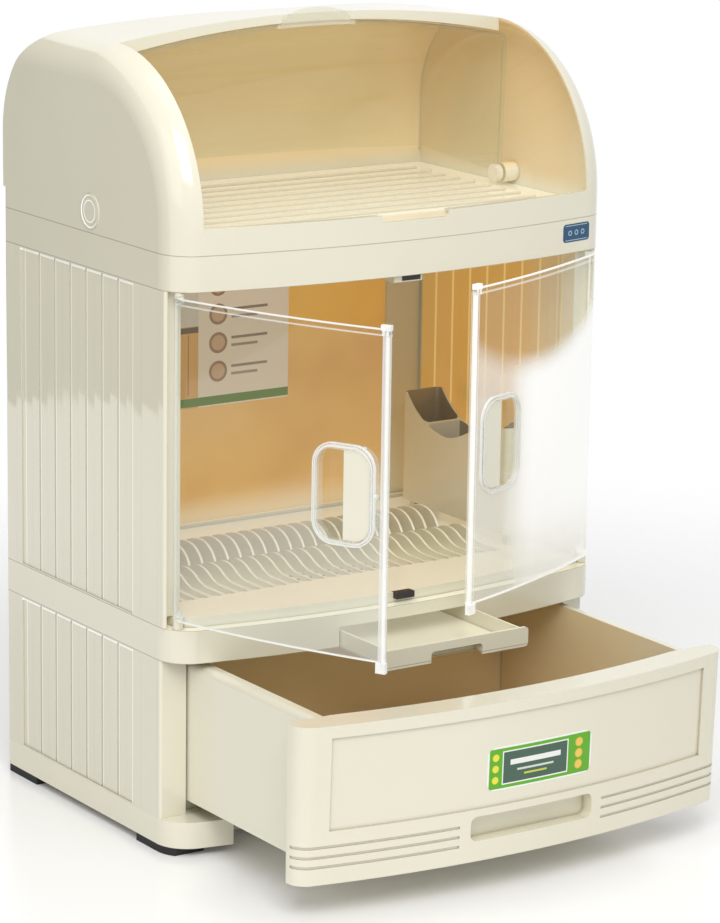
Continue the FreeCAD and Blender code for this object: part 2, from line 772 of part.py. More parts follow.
def drawer_front():
    foot = level_lower + drawer_front_lift
    top = foot + drawer_front_height
    rear = lower_post_depth + gap
    solid = drawer_block("front_solid", 0, foot, top, rear)
    hollow = drawer_block("front_hollow", drawer_skin, foot + drawer_skin, top - drawer_skin,
                          rear - drawer_skin * 3)
    mouth = common("front_mouth",
                   drawer_block("front_mouth_bow", front_rim_depth, foot + drawer_skin, top + gap,
                                rear - front_rim_depth),
                   cuboid("front_mouth_box", both(tub_inner),
                          (front - drawer_out, ahead(rear - gap) - drawer_out),
                          (foot + drawer_skin, top + gap)))
    recess = cuboid("front_recess_block", both(drawer_half - panel_side),
                    (front - drawer_out - gap, ahead(rear) - drawer_out),
                    (foot + panel_low, top - panel_high))
    behind = drawer_block("front_recess_back", panel_recess, foot, top, rear)
    tools = [hollow, cut("front_recess", recess, behind)]
    line_back = drawer_block("front_line_back", line_recess, foot, top, rear)
    strips = []
    for number in range(line_count):
        level = foot + line_low + line_pitch * number
        for side in (-1, 1):
            strips.append(cuboid(f"front_line_{number}", side_pair(side, line_from, half),
                                 (front - drawer_out - gap, ahead(rear + drawer_skin * 2) - drawer_out),
                                 (level, level + line_height)))
    tools.append(cut("front_lines", fuse("front_line_strips", *strips), line_back))
    shell = cut("front_shell", solid, *tools)
    grip_y = (front - drawer_out - gap, front - drawer_out + grip_depth)
    grip = prism("front_grip", "XZ_Plane",
                 rounded_path(both(grip_half), (foot + grip_low, foot + grip_low + grip_height),
                                                        grip_radius), -grip_y[1], -grip_y[0])
    cup_y = (front - drawer_out + drawer_tilt + drawer_skin / 2, grip_y[1] + drawer_skin)
    cup = prism("front_grip_cup", "XZ_Plane",
                rounded_path(both(grip_half + drawer_skin),
                             (foot + grip_low - drawer_skin, foot + grip_low + grip_height + drawer_skin),
                             grip_radius + drawer_skin), -cup_y[1], -cup_y[0])
    cup_inside = common("front_cup_inside", cup,
                        drawer_block("front_cup_limit", drawer_skin / 2, foot, top, rear))
    body = cut("front_body", fuse("front_with_cup", shell, cup_inside), grip)
    sub_part("drawer_front", cut("drawer_front_body", body, mouth))


def drawer_tub():
    top = level_middle - tub_top_gap
    outer_x = tub_outer
    inner_x = tub_inner
    low = level_lower + runner_height + gap
    floor = low + tub_floor_lift
    shift = -drawer_out
    y_back = ahead(tub_back) + shift
    y_wall = ahead(lower_post_depth) + shift
    outer = prism("tub_outer", "XZ_Plane", [
        (-outer_x, low), (outer_x, low), (outer_x, top - tub_rim_radius, tub_rim_radius),
        (outer_x - tub_rim_radius, top), (-outer_x + tub_rim_radius, top, tub_rim_radius),
        (-outer_x, top - tub_rim_radius)], -y_back, -y_wall)
    tongue = drawer_block("tub_tongue", front_rim_depth - tub_wall, floor, top - drawer_skin,
                          lower_post_depth - tub_wall * 2)
    tongue_box = cuboid("tub_tongue_box", both(inner_x + tub_wall), (front - drawer_out, y_wall + tub_wall),
                        (floor, top - drawer_skin))
    nose = common("tub_nose", tongue, tongue_box)
    solid = fuse("tub_solid", outer, nose)
    inside_low = floor + tub_wall
    inside_back = cuboid("tub_inside", both(inner_x), (y_wall - gap, y_back - tub_wall),
                         (inside_low, top + gap))
    inside_nose = common("tub_inside_nose",
                         drawer_block("tub_inside_bow", front_rim_depth, inside_low, top + gap,
                                      lower_post_depth - tub_wall * 4),
                         cuboid("tub_inside_box", both(inner_x), (front - drawer_out, y_wall + tub_wall),
                                (inside_low, top + gap)))
    tools = [inside_back, inside_nose]
    tools.append(cuboid("tub_under", both(inner_x), (y_wall + tub_wall, y_back - tub_wall),
                        (low - gap, floor)))
    for side in (-1, 1):
        tools.append(cuboid("tub_channel", side_pair(side, inner_x + tub_wall, outer_x - tub_wall),
                            (y_wall + tub_wall, y_back - tub_wall), (low - gap, top - tub_rim_radius)))
    sub_part("drawer_tub", cut("drawer_tub_body", solid, *tools))


def plate_rack():
    """Three bars that carry a row of equal waved fins and a shorter one, in the floor's basin."""
    foot = level_floor - basin_depth + gap
    reach = fin_pitch * fin_count + fin_thickness
    body = doc.addObject("PartDesign::Body", "rack")
    bar_pad = None
    spare = rack_front - rack_back - rack_bar_width
    for number in range(rack_bar_count):
        near = rack_back + spare * number / (rack_bar_count - 1)
        bar = drawn(body, f"rack_bar_{number}", "YZ_Plane", (0, 0, -fin_left), [
            (ahead(near + rack_bar_width), foot),
            (ahead(near), foot),
            (ahead(near), foot + rack_bar_height),
            (ahead(near + rack_bar_width), foot + rack_bar_height)])
        bar_pad = body.newObject("PartDesign::Pad", f"rack_bar_pad_{number}")
        bar_pad.Profile = bar
        bind(bar_pad, "Length", reach)
    front_wave = [
        (ahead(valley_back), level_floor + valley_height, wave_rise),
        (ahead(wave_back), level_floor + wave_height, wave_sweep),
        (ahead(wave_foot), level_floor + wave_foot_height, -landing_sweep),
        (ahead(landing_back), level_floor + landing_height),
        (ahead(rack_front), level_floor + landing_height),
        (ahead(rack_front), foot),
    ]
    end = drawn(body, "end_fin_sketch", "YZ_Plane", (0, 0, reach - fin_thickness - fin_left),
                [(ahead(valley_back), foot), *front_wave])
    end_fin = body.newObject("PartDesign::Pad", "end_fin")
    end_fin.Profile = end
    bind(end_fin, "Length", fin_thickness)
    sketch = drawn(body, "fin_sketch", "YZ_Plane", (0, 0, -fin_left), [
        (ahead(rack_back), foot),
        (ahead(rack_back), level_floor + rear_height, rear_sweep),
        (ahead(crest_back), level_floor + crest_height, crest_sweep),
        *front_wave,
    ])
    fin = body.newObject("PartDesign::Pad", "fin")
    fin.Profile = sketch
    bind(fin, "Length", fin_thickness)
    row = body.newObject("PartDesign::LinearPattern", "fin_row")
    row.Originals = [fin]
    row.Direction = (sketch, ["N_Axis"])
    bind(row, "Length", fin_pitch * (fin_count - 1))
    row.Occurrences = fin_count
    body.Tip = row
    sub_part("plate_rack", body)


def cutlery_holder():
    x = (holder_left, holder_left + holder_width)
    y = (ahead(holder_back + holder_length), ahead(holder_back))
    low = level_floor + holder_lift
    top = low + holder_height
    outer = prism("holder_outer", "XY_Plane", rounded_path(x, y, holder_radius), low, top)
    dip = low + holder_height - holder_dip
    cutter = prism("holder_dip_cutter", "YZ_Plane", [
        (y[0] - gap, top + gap),
        (y[0] - gap, top - brow_drop),
        (y[0] + brow_length, top - brow_fall, brow_sweep),
        (y[0] + dip_length, dip, dip_sweep),
        (y[1] - holder_radius, top),
        (y[1] - holder_radius, top + gap),
    ], x[0] - gap, x[1] + gap)
    first = (x[0] + holder_wall, x[1] - holder_wall)
    split = y[1] - holder_partition
    inner_rear = prism("holder_inner_rear", "XY_Plane",
                       rounded_path(first, (split + holder_wall / 2, y[1] - holder_wall),
                                    holder_radius - holder_wall),
                       low + holder_wall, top + gap)
    inner_front = prism("holder_inner_front", "XY_Plane",
                        rounded_path(first, (y[0] + holder_wall, split - holder_wall / 2),
                                     holder_radius - holder_wall),
                        low + holder_wall, top + gap)
    body = cut("holder_body", outer, cutter, inner_rear, inner_front)
    legs = []
    for leg_x in (x[0] + holder_radius, x[1] - holder_radius - leg_width):
        for leg_y in (y[0] + holder_radius, y[1] - holder_radius - leg_width):
            legs.append(cuboid("holder_leg", (leg_x, leg_x + leg_width), (leg_y, leg_y + leg_width),
                               (level_floor, low + holder_wall / 2)))
    sub_part("cutlery_holder", fuse("cutlery_holder_body", body, *legs))


def top_frame():
    solid = slab("frame_solid", 0, level_frame, level_hood)
    hollow = slab("frame_hollow", wall, level_frame + deck, level_hood - deck)
    lower_opening = prism("frame_lower_opening", "XY_Plane",
                          rounded_path(both(half - frame_flange),
                                       (ahead(side_depth - frame_flange), ahead(frame_flange)),
                                       corner_radius / 2),
                          level_frame - gap, level_frame + deck + gap)
    upper_opening = slab("frame_upper_opening", frame_ledge, level_hood - deck - gap, level_hood + gap)
    shell = cut("frame_shell", solid, hollow, lower_opening, upper_opening)
    pieces = [shell]
    bores = []
    for side in (-1, 1):
        low = door_top + gap
        pieces.append(cylinder("frame_hinge_boss", lug_radius, pivot_x * side, hinge_y, low,
                               level_frame + deck + pin_length - low))
        bores.append(cylinder("frame_hinge_bore", pin_radius + pin_clearance, pivot_x * side, hinge_y,
                              low - gap,
                              pin_length + gap * 2))
    sub_part("top_frame", cut("top_frame_body", fuse("frame_with_bosses", *pieces), *bores))


def catches():
    magnet_front = front + block_thickness + gap
    x = both(magnet_half)
    low = level_sill - magnet_height
    sub_part("lower_magnet",
             cuboid("lower_magnet_body", x, (magnet_front, magnet_front + magnet_depth - gap),
                                    (low, level_sill)))
    catch_front = magnet_front
    holder_front = catch_front + strike_thickness / 2
    holder_low = level_frame - magnet_height - catch_wall
    block = cuboid("catch_block", (-magnet_half - catch_left, magnet_half + catch_wall),
                   (holder_front, holder_front + magnet_depth + catch_wall * 2),
                   (holder_low + catch_wall / 2, level_frame))
    magnet_levels = (holder_low + catch_wall, holder_low + catch_wall + magnet_height - catch_wall / 2)
    pocket = cuboid("catch_pocket", x, (holder_front - gap, catch_front + magnet_depth), magnet_levels)
    sub_part("upper_catch", cut("upper_catch_body", block, pocket))
    sub_part("upper_magnet", cuboid("upper_magnet_body", x, (catch_front, catch_front + magnet_depth),
                                    magnet_levels))


def hood_section(inset, drop=0):
    """Half the hood's shape across: upright flanks, round shoulders, crowned top."""
    side = half - inset
    turn = corner_radius - inset
    sweep = crown_radius - inset
    shoulder, join_x, join_z = bowed(side, turn, sweep, hood_crown - inset)
    return [
        (-side, -length(drop)),
        (side, -length(drop)),
        (side, shoulder, turn),
        (join_x, join_z, sweep),
        (-join_x, join_z, turn),
        (-side, shoulder),
    ]


plan_flank = bowed(half, corner_radius, bow_radius, side_depth + bow)[0]
hood_crown = plan_flank - pivot_back + crown_radius - leg(crown_radius - corner_radius,
                                                          half - corner_radius)
hood_top = level_pivot + hood_crown


def back_profile(inset):
    """Keeps what lies in front of the back wall and under the curve of the roof."""
    rise = hood_top - back_curve_height
    tall = hood_top - rise - inset
    deep = back_curve_depth - inset
    tight = back_curve_radius - inset
    offset = deep - tight
    wide = (offset * offset + tall * tall - tight * tight) / (2 * (tall - tight))
    centre_gap = wide - tight
    join_y = offset + tight * offset / centre_gap
    join_z = tight * (wide - tall) / centre_gap
    middle = ahead(back_curve_depth)
    far = ahead(side_depth + bow + corner_radius)
    return [
        (far, level_hood - corner_radius),
        (back - inset, level_hood - corner_radius),
        (back - inset, rise, tight),
        (middle + join_y, rise + join_z, wide),
        (middle, rise + tall),
        (far, rise + tall),
    ]


def hood_solid(name, inset):
    low = level_hood if length(inset).value == 0 else level_hood - gap
    foot = slab(name + "_foot", inset, low, level_pivot)
    brow = turned_solid(name + "_brow", hood_section(inset), pivot_y, level_pivot, 90, False)
    roof = prism(name + "_roof", "XZ_Plane",
                 [(corner[0], corner[1] + level_pivot, *corner[2:]) for corner in hood_section(inset)],
                 -back - gap, -pivot_y)
    body = fuse(name + "_body", foot, brow, roof)
    return common(name + "_trimmed", body, prism(name + "_keep", "YZ_Plane", back_profile(inset), -half,
                                                 half))


def hood_shell():
    outer = hood_solid("hood_outer", 0)
    inner = hood_solid("hood_inner", hood_wall)
    window_half = half - rim_width
    window = prism("hood_window", "XZ_Plane",
                   rounded_path(both(window_half), (level_lip, hood_top + corner_radius), rim_corner),
                   -ahead(roof_front), -(front - corner_radius))
    notch = prism("hood_notch", "XZ_Plane",
                  rounded_path(both(lip_notch_half),
                               (level_lip - lip_notch_depth, level_lip + lip_notch_depth),
                               lip_notch_depth / 2), -ahead(side_depth - corner_radius), -(front - gap))
    lip = cut("hood_lip", slab("hood_lip_solid", 0, level_pivot, level_lip),
              slab("hood_lip_hollow", hood_wall, level_pivot - gap, level_lip + gap),
              cuboid("hood_lip_limit", (-half - gap, half + gap),
                     (ahead(side_depth - corner_radius * 2), back + gap),
                     (level_pivot - gap, level_lip + gap)))
    lip_front = common("hood_lip_front", lip,
                       cuboid("hood_lip_width", both(window_half), (front - gap, back),
                                                     (level_pivot, level_lip)))
    hem_face = ahead(roof_front)
    hem_solid, hem_hollow = (
        prism(name, "XZ_Plane", [(corner[0], corner[1] + level_pivot, *corner[2:]) for corner in section],
              -hem_face - hem_thickness - margin, margin - hem_face)
        for name, section, margin in (("hood_hem_solid", hood_section(hood_wall / 2), 0),
                                      ("hood_hem_hollow", visor_section(-hem_clearance), gap)))
    hem = common("hood_hem", cut("hood_hem_band", hem_solid, hem_hollow),
                 cuboid("hood_hem_width", both(window_half), (hem_face, hem_face + hem_thickness),
                        (level_pivot + visor_radius / 2, hood_top)))
    shell = cut("hood_shell_walls", outer, inner, window)
    pieces = [shell, lip_front, hem]
    bores = [notch]
    for side in (-1, 1):
        spacer = side_pair(side, visor_half + gap, half - hood_wall / 2)
        pieces.append(cylinder(f"hood_boss_{side}", boss_radius, spacer[0], pivot_y, level_pivot,
                               spacer[1] - spacer[0], "x"))
        bore = side_pair(side, visor_half - gap, half - hood_wall)
        bores.append(cylinder(f"hood_bore_{side}", shaft_radius + shaft_clearance, bore[0], pivot_y,
                              level_pivot,
                              bore[1] - bore[0], "x"))
        seat = side_pair(side, half - cap_recess, half + gap)
        bores.append(cylinder(f"hood_cap_seat_{side}", cap_radius, seat[0], pivot_y, level_pivot,
                              seat[1] - seat[0], "x"))
    sub_part("hood", cut("hood_body", fuse("hood_with_bosses", *pieces), *bores))


def pivot_caps():
    for side, name in ((-1, "pivot_cap_left"), (1, "pivot_cap_right")):
        cap = side_pair(side, half - cap_recess, half + cap_proud)
        disc = cylinder(name + "_disc", cap_radius - plate_gap, cap[0], pivot_y, level_pivot,
                        cap[1] - cap[0], "x")
        ring_x = side_pair(side, half + cap_proud / 2, half + cap_proud + gap)
        ring = cut(name + "_ring",
                   cylinder(name + "_ring_out", cap_radius - cap_recess * 2, ring_x[0], pivot_y,
                            level_pivot,
                            ring_x[1] - ring_x[0], "x"),
                   cylinder(name + "_ring_in", cap_radius - cap_recess * 4, ring_x[0] - gap, pivot_y,
                            level_pivot,
                            ring_x[1] - ring_x[0] + gap * 2, "x"))
        sub_part(name, cut(name + "_body", disc, ring))


def drain_tray():
    top = level_hood + drain_tray_rise
    solid = slab("drain_solid", hood_wall + gap, level_hood + gap, top)
    hollow = slab("drain_hollow", hood_wall + gap + deck, level_hood - gap, top - drain_tray_floor)
    pieces = [cut("drain_shell", solid, hollow)]
    rib_x = both(half - drain_rib_margin)
    for number in range(drain_rib_count):
        distance = drain_rib_margin + drain_rib_pitch * number
        pieces.append(cuboid(f"drain_rib_{number}", rib_x,
                             (ahead(distance + drain_rib_width), ahead(distance)),
                             (top - deck / 2, top + drain_rib_height)))
    sub_part("drain_tray", fuse("drain_tray_body", *pieces))


def visor_section(inset):
    side = visor_half - inset
    turn = visor_corner - inset
    shoulder, join_x, join_z = bowed(side, turn, visor_crown_radius - inset, visor_radius - inset)
    return [
        (-side, 0),
        (side, 0),
        (side, shoulder, turn),
        (join_x, join_z, visor_crown_radius - inset),
        (-join_x, join_z, turn),
        (-side, shoulder),
    ]


def turn_about(item, centre, axis, angle):
    item.Placement = FreeCAD.Placement(Vector(), FreeCAD.Rotation(axis, angle), centre)
    return item


def visor():
    axle = Vector(0, float(pivot_y), float(level_pivot))
    across = Vector(1, 0, 0)
    outer = turned_solid("visor_outer", visor_section(0), pivot_y, level_pivot, visor_span, True)
    inner = turned_solid("visor_inner", visor_section(visor_wall), pivot_y, level_pivot,
                         visor_span + visor_trim, True)
    barrel = turn_about(cut("visor_barrel", outer, inner), axle, across, -float(visor_span) / 2)
    rim_section = [(corner[0], corner[1] + level_pivot, *corner[2:]) for corner in visor_section(0)]
    rim_hollow = [(corner[0], corner[1] + level_pivot,
                   *corner[2:]) for corner in visor_section(visor_rim_depth)]
    rim_hollow[0] = (rim_hollow[0][0], level_pivot - gap)
    rim_hollow[1] = (rim_hollow[1][0], level_pivot - gap)
    rim = cut("visor_rim_ring",
              prism("visor_rim_solid", "XZ_Plane", rim_section, -pivot_y, visor_rim - pivot_y),
              prism("visor_rim_hollow", "XZ_Plane", rim_hollow, -pivot_y - gap, visor_rim - pivot_y + gap))
    tab_top = level_pivot + visor_radius + tab_rise
    tab_low = level_pivot + visor_radius - visor_rim_depth
    tab_shoulder = tab_low + visor_rim_depth
    tab_side = tab_half - tab_radius
    tab = prism("visor_tab", "XZ_Plane", [
        (-tab_half, tab_low),
        (tab_half, tab_low),
        (tab_half, tab_shoulder, tab_radius),
        (tab_side, tab_top - tab_crown, tab_sweep),
        (-tab_side, tab_top - tab_crown, tab_radius),
        (-tab_half, tab_shoulder),
    ], -pivot_y, visor_rim - pivot_y)
    pieces = [barrel, rim, tab]
    holes = []
    for side in (-1, 1):
        ear = side_pair(side, visor_half - visor_wall, visor_half)
        pieces.append(cylinder("visor_ear", ear_radius, ear[0], pivot_y, level_pivot, ear[1] - ear[0], "x"))
        hole = side_pair(side, visor_half - visor_wall * 3, visor_half + gap)
        holes.append(cylinder("visor_hole", shaft_radius, hole[0], pivot_y, level_pivot, hole[1] - hole[0],
                              "x"))
        room = side_pair(side, visor_half - visor_rim_depth - gap, visor_half - visor_wall)
        holes.append(cylinder("visor_knob_room", knob_radius + gap, room[0], pivot_y, level_pivot,
                              room[1] - room[0], "x"))
    body = cut("visor_body", fuse("visor_with_ears", *pieces), *holes)
    sub_part("visor", turn_about(body, axle, across, float(visor_lean)))
    for side, name in ((-1, "visor_pivot_left"), (1, "visor_pivot_right")):
        knob_x = side_pair(side, visor_half - visor_wall - knob_thickness, visor_half - visor_wall)
        shaft_x = side_pair(side, visor_half - visor_wall - gap, half - hood_wall - gap)
        knob = cylinder(name + "_knob", knob_radius, knob_x[0], pivot_y, level_pivot,
                        knob_x[1] - knob_x[0], "x")
        shaft = cylinder(name + "_shaft", shaft_radius, shaft_x[0], pivot_y, level_pivot,
                         shaft_x[1] - shaft_x[0], "x")
        sub_part(name, turn_about(fuse(name + "_body", knob, shaft), axle, across, float(visor_lean)))


def stadium(centre, half_wide, half_tall, level, shrink):
    """An upright outline with round corners, drawn in by shrink."""
    x = (centre - half_wide + shrink, centre + half_wide - shrink)
    z = (level - half_tall + shrink, level + half_tall - shrink)
    return rounded_path(x, z, cup_radius - shrink)


def door(side, name, open_angle):
    """A clear bowed door that wraps round the corner, with its cup, grip plate and strikes."""
    outer = slab(name + "_outer", door_inset, door_bottom, door_top)
    inner = slab(name + "_inner", door_inset + door_thickness, door_bottom - gap, door_top + gap)
    limit = cuboid(name + "_limit", side_pair(side, edge_offset, half),
                   (front - gap, ahead(door_wrap_depth)),
                   (door_bottom, door_top))
    pieces = [common(name + "_skin", cut(name + "_ring", outer, inner), limit)]
    edge_y = front + edge_inset
    edge_low = level_sill + block_rise
    pieces.append(cylinder(name + "_edge", edge_radius, edge_offset * side, edge_y, edge_low,
                           level_frame - magnet_height - catch_wall - edge_low))
    block_x = side_pair(side, edge_offset - block_half, edge_offset + block_half)
    block_y = (front - gap, front - gap + block_thickness - strike_thickness)
    block_foot = level_ledge + block_rise
    block_head = level_frame - block_gap
    block_levels = ((block_foot, block_foot + block_height), (block_head - block_height, block_head))
    strikes = []
    for number, levels in enumerate(block_levels):
        pieces.append(cuboid(f"{name}_block_{number}", block_x, block_y, levels))
        middle = (levels[0] + levels[1]) / 2
        strikes.append(cuboid(f"{name}_strike_{number}",
                              side_pair(side, edge_offset - strike_half, edge_offset + strike_half),
                              (block_y[1], block_y[1] + strike_thickness),
                              (middle - strike_height / 2, middle + strike_height / 2)))
    for number, (low, height) in enumerate(((door_bottom - pin_length, pin_length + lug_height),
                                            (door_top - lug_height, pin_length + lug_height))):
        pieces.append(cylinder(f"{name}_pin_{number}", pin_radius, pivot_x * side, hinge_y, low, height))
    for number, low in enumerate((door_bottom, door_top - lug_height)):
        pieces.append(cylinder(f"{name}_lug_{number}", lug_radius, pivot_x * side, hinge_y, low,
                               lug_height))
    level = level_base + cup_level
    centre = cup_centre * side
    cup_back = front + door_inset + cup_depth
    opening = prism(name + "_cup_hole", "XZ_Plane",
                    stadium(centre, cup_half, cup_half_height, level, cup_wall - plate_gap),
                    -cup_back, -(front - cup_rim))
    hinge = Vector(side * float(pivot_x), float(hinge_y), 0)
    swing = float(open_angle) * side

    def swung(item):
        return turn_about(item, hinge, Vector(0, 0, 1), swing)

    strikes_cleared = fuse(name + "_strike_pair", *strikes)
    panel = cut(name + "_panel_body", fuse(name + "_panel_solid", *pieces), opening)
    panel = cut(name + "_panel_cleared", panel, strikes_cleared)
    sub_part(name + "_panel", swung(panel))
    sub_part(name + "_strikes", swung(fuse(name + "_strikes_body", strikes_cleared)))
    cup_front = front - cup_proud
    cup_outer = prism(name + "_cup_outer", "XZ_Plane",
                      stadium(centre, cup_half, cup_half_height, level, cup_wall),
                      -cup_back, -cup_front)
    cup_flange = common(name + "_cup_flange",
                        prism(name + "_cup_rim", "XZ_Plane",
                              stadium(centre, cup_half, cup_half_height, level, -cup_rim / 2),
                              -(front + door_inset * 3), -cup_front),
                        slab(name + "_cup_rim_shape", -cup_proud, level_ledge, level_frame))
    flange = cut(name + "_cup_flange_front", cup_flange,
                 slab(name + "_cup_rim_back", door_inset, level_ledge, level_frame))
    cup_inner = prism(name + "_cup_inner", "XZ_Plane",
                      stadium(centre, cup_half, cup_half_height, level, cup_wall * 2),
                      -(cup_back - cup_wall), -(cup_front - gap))
    cup_body = cut(name + "_cup_body", fuse(name + "_cup_solid", cup_outer, flange), cup_inner)
    plate_block = cuboid(name + "_plate_half", side_pair(side, cup_centre - cup_half, cup_centre),
                         (front - cup_depth, back), (level_ledge, level_frame))
    plate = common(name + "_plate_body",
                   prism(name + "_plate_solid", "XZ_Plane",
                         stadium(centre, cup_half, cup_half_height, level, cup_wall * 2),
                         -(cup_front + plate_depth), -(cup_front + plate_depth - plate_thickness)),
                   plate_block)
    sub_part(name + "_cup", swung(cup_body))
    sub_part(name + "_grip_plate", swung(plate))


base_plate()
feet()
for side, side_name in ((-1, "left"), (1, "right")):
    side_panel("lower_side_" + side_name, side, level_lower, level_middle, lower_post_depth,
               lower_post_depth,
               lower_post_width, lower_back_post, level_lower)
    side_panel("middle_side_" + side_name, side, level_ledge, level_frame, middle_edge_depth,
               middle_post_depth,
               middle_post_width, middle_back_post, level_sill)
back_sheet("lower_back", level_lower, level_middle)
back_sheet("middle_back", level_ledge, level_frame)
middle_base()
drip_tray()
drawer_front()
drawer_tub()
plate_rack()
cutlery_holder()
top_frame()
catches()
hood_shell()
pivot_caps()
drain_tray()
visor()
door(-1, "door_left", left_open)
door(1, "door_right", right_open)

doc.recompute()
failed = [item.Label for item in doc.Objects if {"Invalid", "Error"} & set(item.State)]
failed += [item.Label for item in sub_parts if item.Shape.isNull() or not item.Shape.isValid()]
if failed:
    raise SystemExit(f"not built: {failed}")
os.makedirs("parts", exist_ok=True)
for item in sub_parts:
    item.Shape.exportStep(f"parts/{item.Label}.step")
    box = item.Shape.BoundBox
    print(f"{item.Label}: {len(item.Shape.Solids)} solids, {item.Shape.Volume / 1000:.1f} cm3, "
          f"x {box.XMin:.1f} {box.XMax:.1f} y {box.YMin:.1f} {box.YMax:.1f} z {box.ZMin:.1f} {box.ZMax:.1f}")
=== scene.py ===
# %% [markdown]
# A covered dish drying box stands on a kitchen worktop. It has a drawer at the bottom, a cabinet with
# two clear doors above it, and a hood with a clear visor on top. The solid model gives every piece
# its shape and its place. This lesson gives the pieces their finish, adds the small parts that only
# the eye needs, and sets the camera and the light of a plain studio.

# %% Load the solid model as a fixed frame
import math

import bmesh
import bpy
from mathutils import Matrix, Vector
from mathutils.bvhtree import BVHTree


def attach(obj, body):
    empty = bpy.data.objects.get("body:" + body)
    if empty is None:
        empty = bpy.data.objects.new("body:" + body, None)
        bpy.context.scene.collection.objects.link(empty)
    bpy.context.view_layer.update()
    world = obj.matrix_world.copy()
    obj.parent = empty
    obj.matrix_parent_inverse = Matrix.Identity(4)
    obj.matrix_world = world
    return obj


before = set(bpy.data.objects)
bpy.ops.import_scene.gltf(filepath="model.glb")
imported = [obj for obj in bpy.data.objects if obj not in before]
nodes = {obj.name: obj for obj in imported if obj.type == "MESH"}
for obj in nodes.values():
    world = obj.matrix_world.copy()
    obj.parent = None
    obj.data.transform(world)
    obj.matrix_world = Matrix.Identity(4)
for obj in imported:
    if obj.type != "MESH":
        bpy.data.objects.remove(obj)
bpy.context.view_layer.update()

# %% [markdown]
# Blender works in metres. Most sizes of a box like this are a few millimetres, so one short name for
# a millimetre keeps the lines easy to read. Colours are picked from a screen, and a shader
# wants them linear, so a small function turns one into the other.

# %% Units and colours
MM = 0.001


def paint(red, green, blue):
    """A screen colour of 0 to 255 as the linear colour that a shader takes."""
    channels = []
    for value in (red, green, blue):
        share = value / 255
        channels.append(share / 12.92 if share <= 0.04045 else ((share + 0.055) / 1.055) ** 2.4)
    return (*channels, 1.0)


# %% [markdown]
# The camera stands in front of the box and to its left, a little above it. A long lens from almost
# four metres away keeps the upright edges nearly parallel, as a product photographer does. Its place
# comes from one point near the middle of the box that it looks past, the direction in which it looks,
# and how far away it is. The image is 720 by 923 pixels.

# %% Camera
AIM = Vector((0, 92 * MM, 388 * MM))
YAW = math.radians(34.23)
PITCH = math.radians(13.52)
ROLL = math.radians(0.88)
ASIDE = Vector((-40.5 * MM, 54.65 * MM))
DISTANCE = 3727.5 * MM
IMAGE_HEIGHT = 923
FOCAL_PIXELS = 3755.8
SENSOR = 36.0


def camera_axes():
    """Rightward, upward and forward directions of the camera."""
    forward = Vector((math.sin(YAW) * math.cos(PITCH), math.cos(YAW) * math.cos(PITCH), -math.sin(PITCH)))
    level = forward.cross(Vector((0, 0, 1))).normalized()
    upward = level.cross(forward)
    right = level * math.cos(ROLL) + upward * math.sin(ROLL)
    upward = upward * math.cos(ROLL) - level * math.sin(ROLL)
    return right, upward, forward


def make_camera():
    right, upward, forward = camera_axes()
    place = AIM - right * ASIDE.x - upward * ASIDE.y - forward * DISTANCE
    data = bpy.data.cameras.new("camera")
    data.sensor_fit = "VERTICAL"
    data.sensor_height = SENSOR
    data.lens = FOCAL_PIXELS * SENSOR / IMAGE_HEIGHT
    data.clip_end = 50
    camera = bpy.data.objects.new("camera", data)
    turned = Matrix((right, upward, -forward)).transposed().to_4x4()
    camera.matrix_world = Matrix.Translation(place) @ turned
    bpy.context.scene.collection.objects.link(camera)
    bpy.context.scene.camera = camera
    return camera


camera = make_camera()
print("camera at", [round(value, 3) for value in camera.matrix_world.translation])

# %% [markdown]
# Node trees are long to write by hand. One small class wraps a socket, so that a sum in Python adds
# its Math nodes, and another one holds a material and adds any other node with its settings first and
# its inputs after.

# %% Shader helpers


class Socket:
    """A value in a node tree that can be added, scaled and compared."""

    def __init__(self, surface, output):
        self.surface = surface
        self.output = output

    def _sum(self, operation, *values):
        node = self.surface.add("ShaderNodeMath", {"operation": operation}, *values)
        return node.out("Value")

    def __add__(self, other):
        return self._sum("ADD", self, other)

    def __sub__(self, other):
        return self._sum("SUBTRACT", self, other)

    def __rsub__(self, other):
        return self._sum("SUBTRACT", other, self)

    def __mul__(self, other):
        return self._sum("MULTIPLY", self, other)

    def __truediv__(self, other):
        return self._sum("DIVIDE", self, other)

    def __pow__(self, other):
        return self._sum("POWER", self, other)

    def __abs__(self):
        return self._sum("ABSOLUTE", self)

    def __mod__(self, other):
        return self._sum("FLOORED_MODULO", self, other)

    def above(self, limit):
        return self._sum("GREATER_THAN", self, limit)

    def below(self, limit):
        return self._sum("LESS_THAN", self, limit)

    def most(self, other):
        return self._sum("MAXIMUM", self, other)

    def least(self, other):
        return self._sum("MINIMUM", self, other)

    def spread(self, low, high):
        """0 below low, 1 above high, and a soft step between them."""
        settings = {"interpolation_type": "SMOOTHSTEP"}
        node = self.surface.add("ShaderNodeMapRange", settings, self, low, high, 0.0, 1.0)
        return node.out("Result")


class Added:
    """A node that is in the tree already."""

    def __init__(self, surface, node):
        self.surface = surface
        self.node = node

    def out(self, name):
        return Socket(self.surface, self.node.outputs[name])


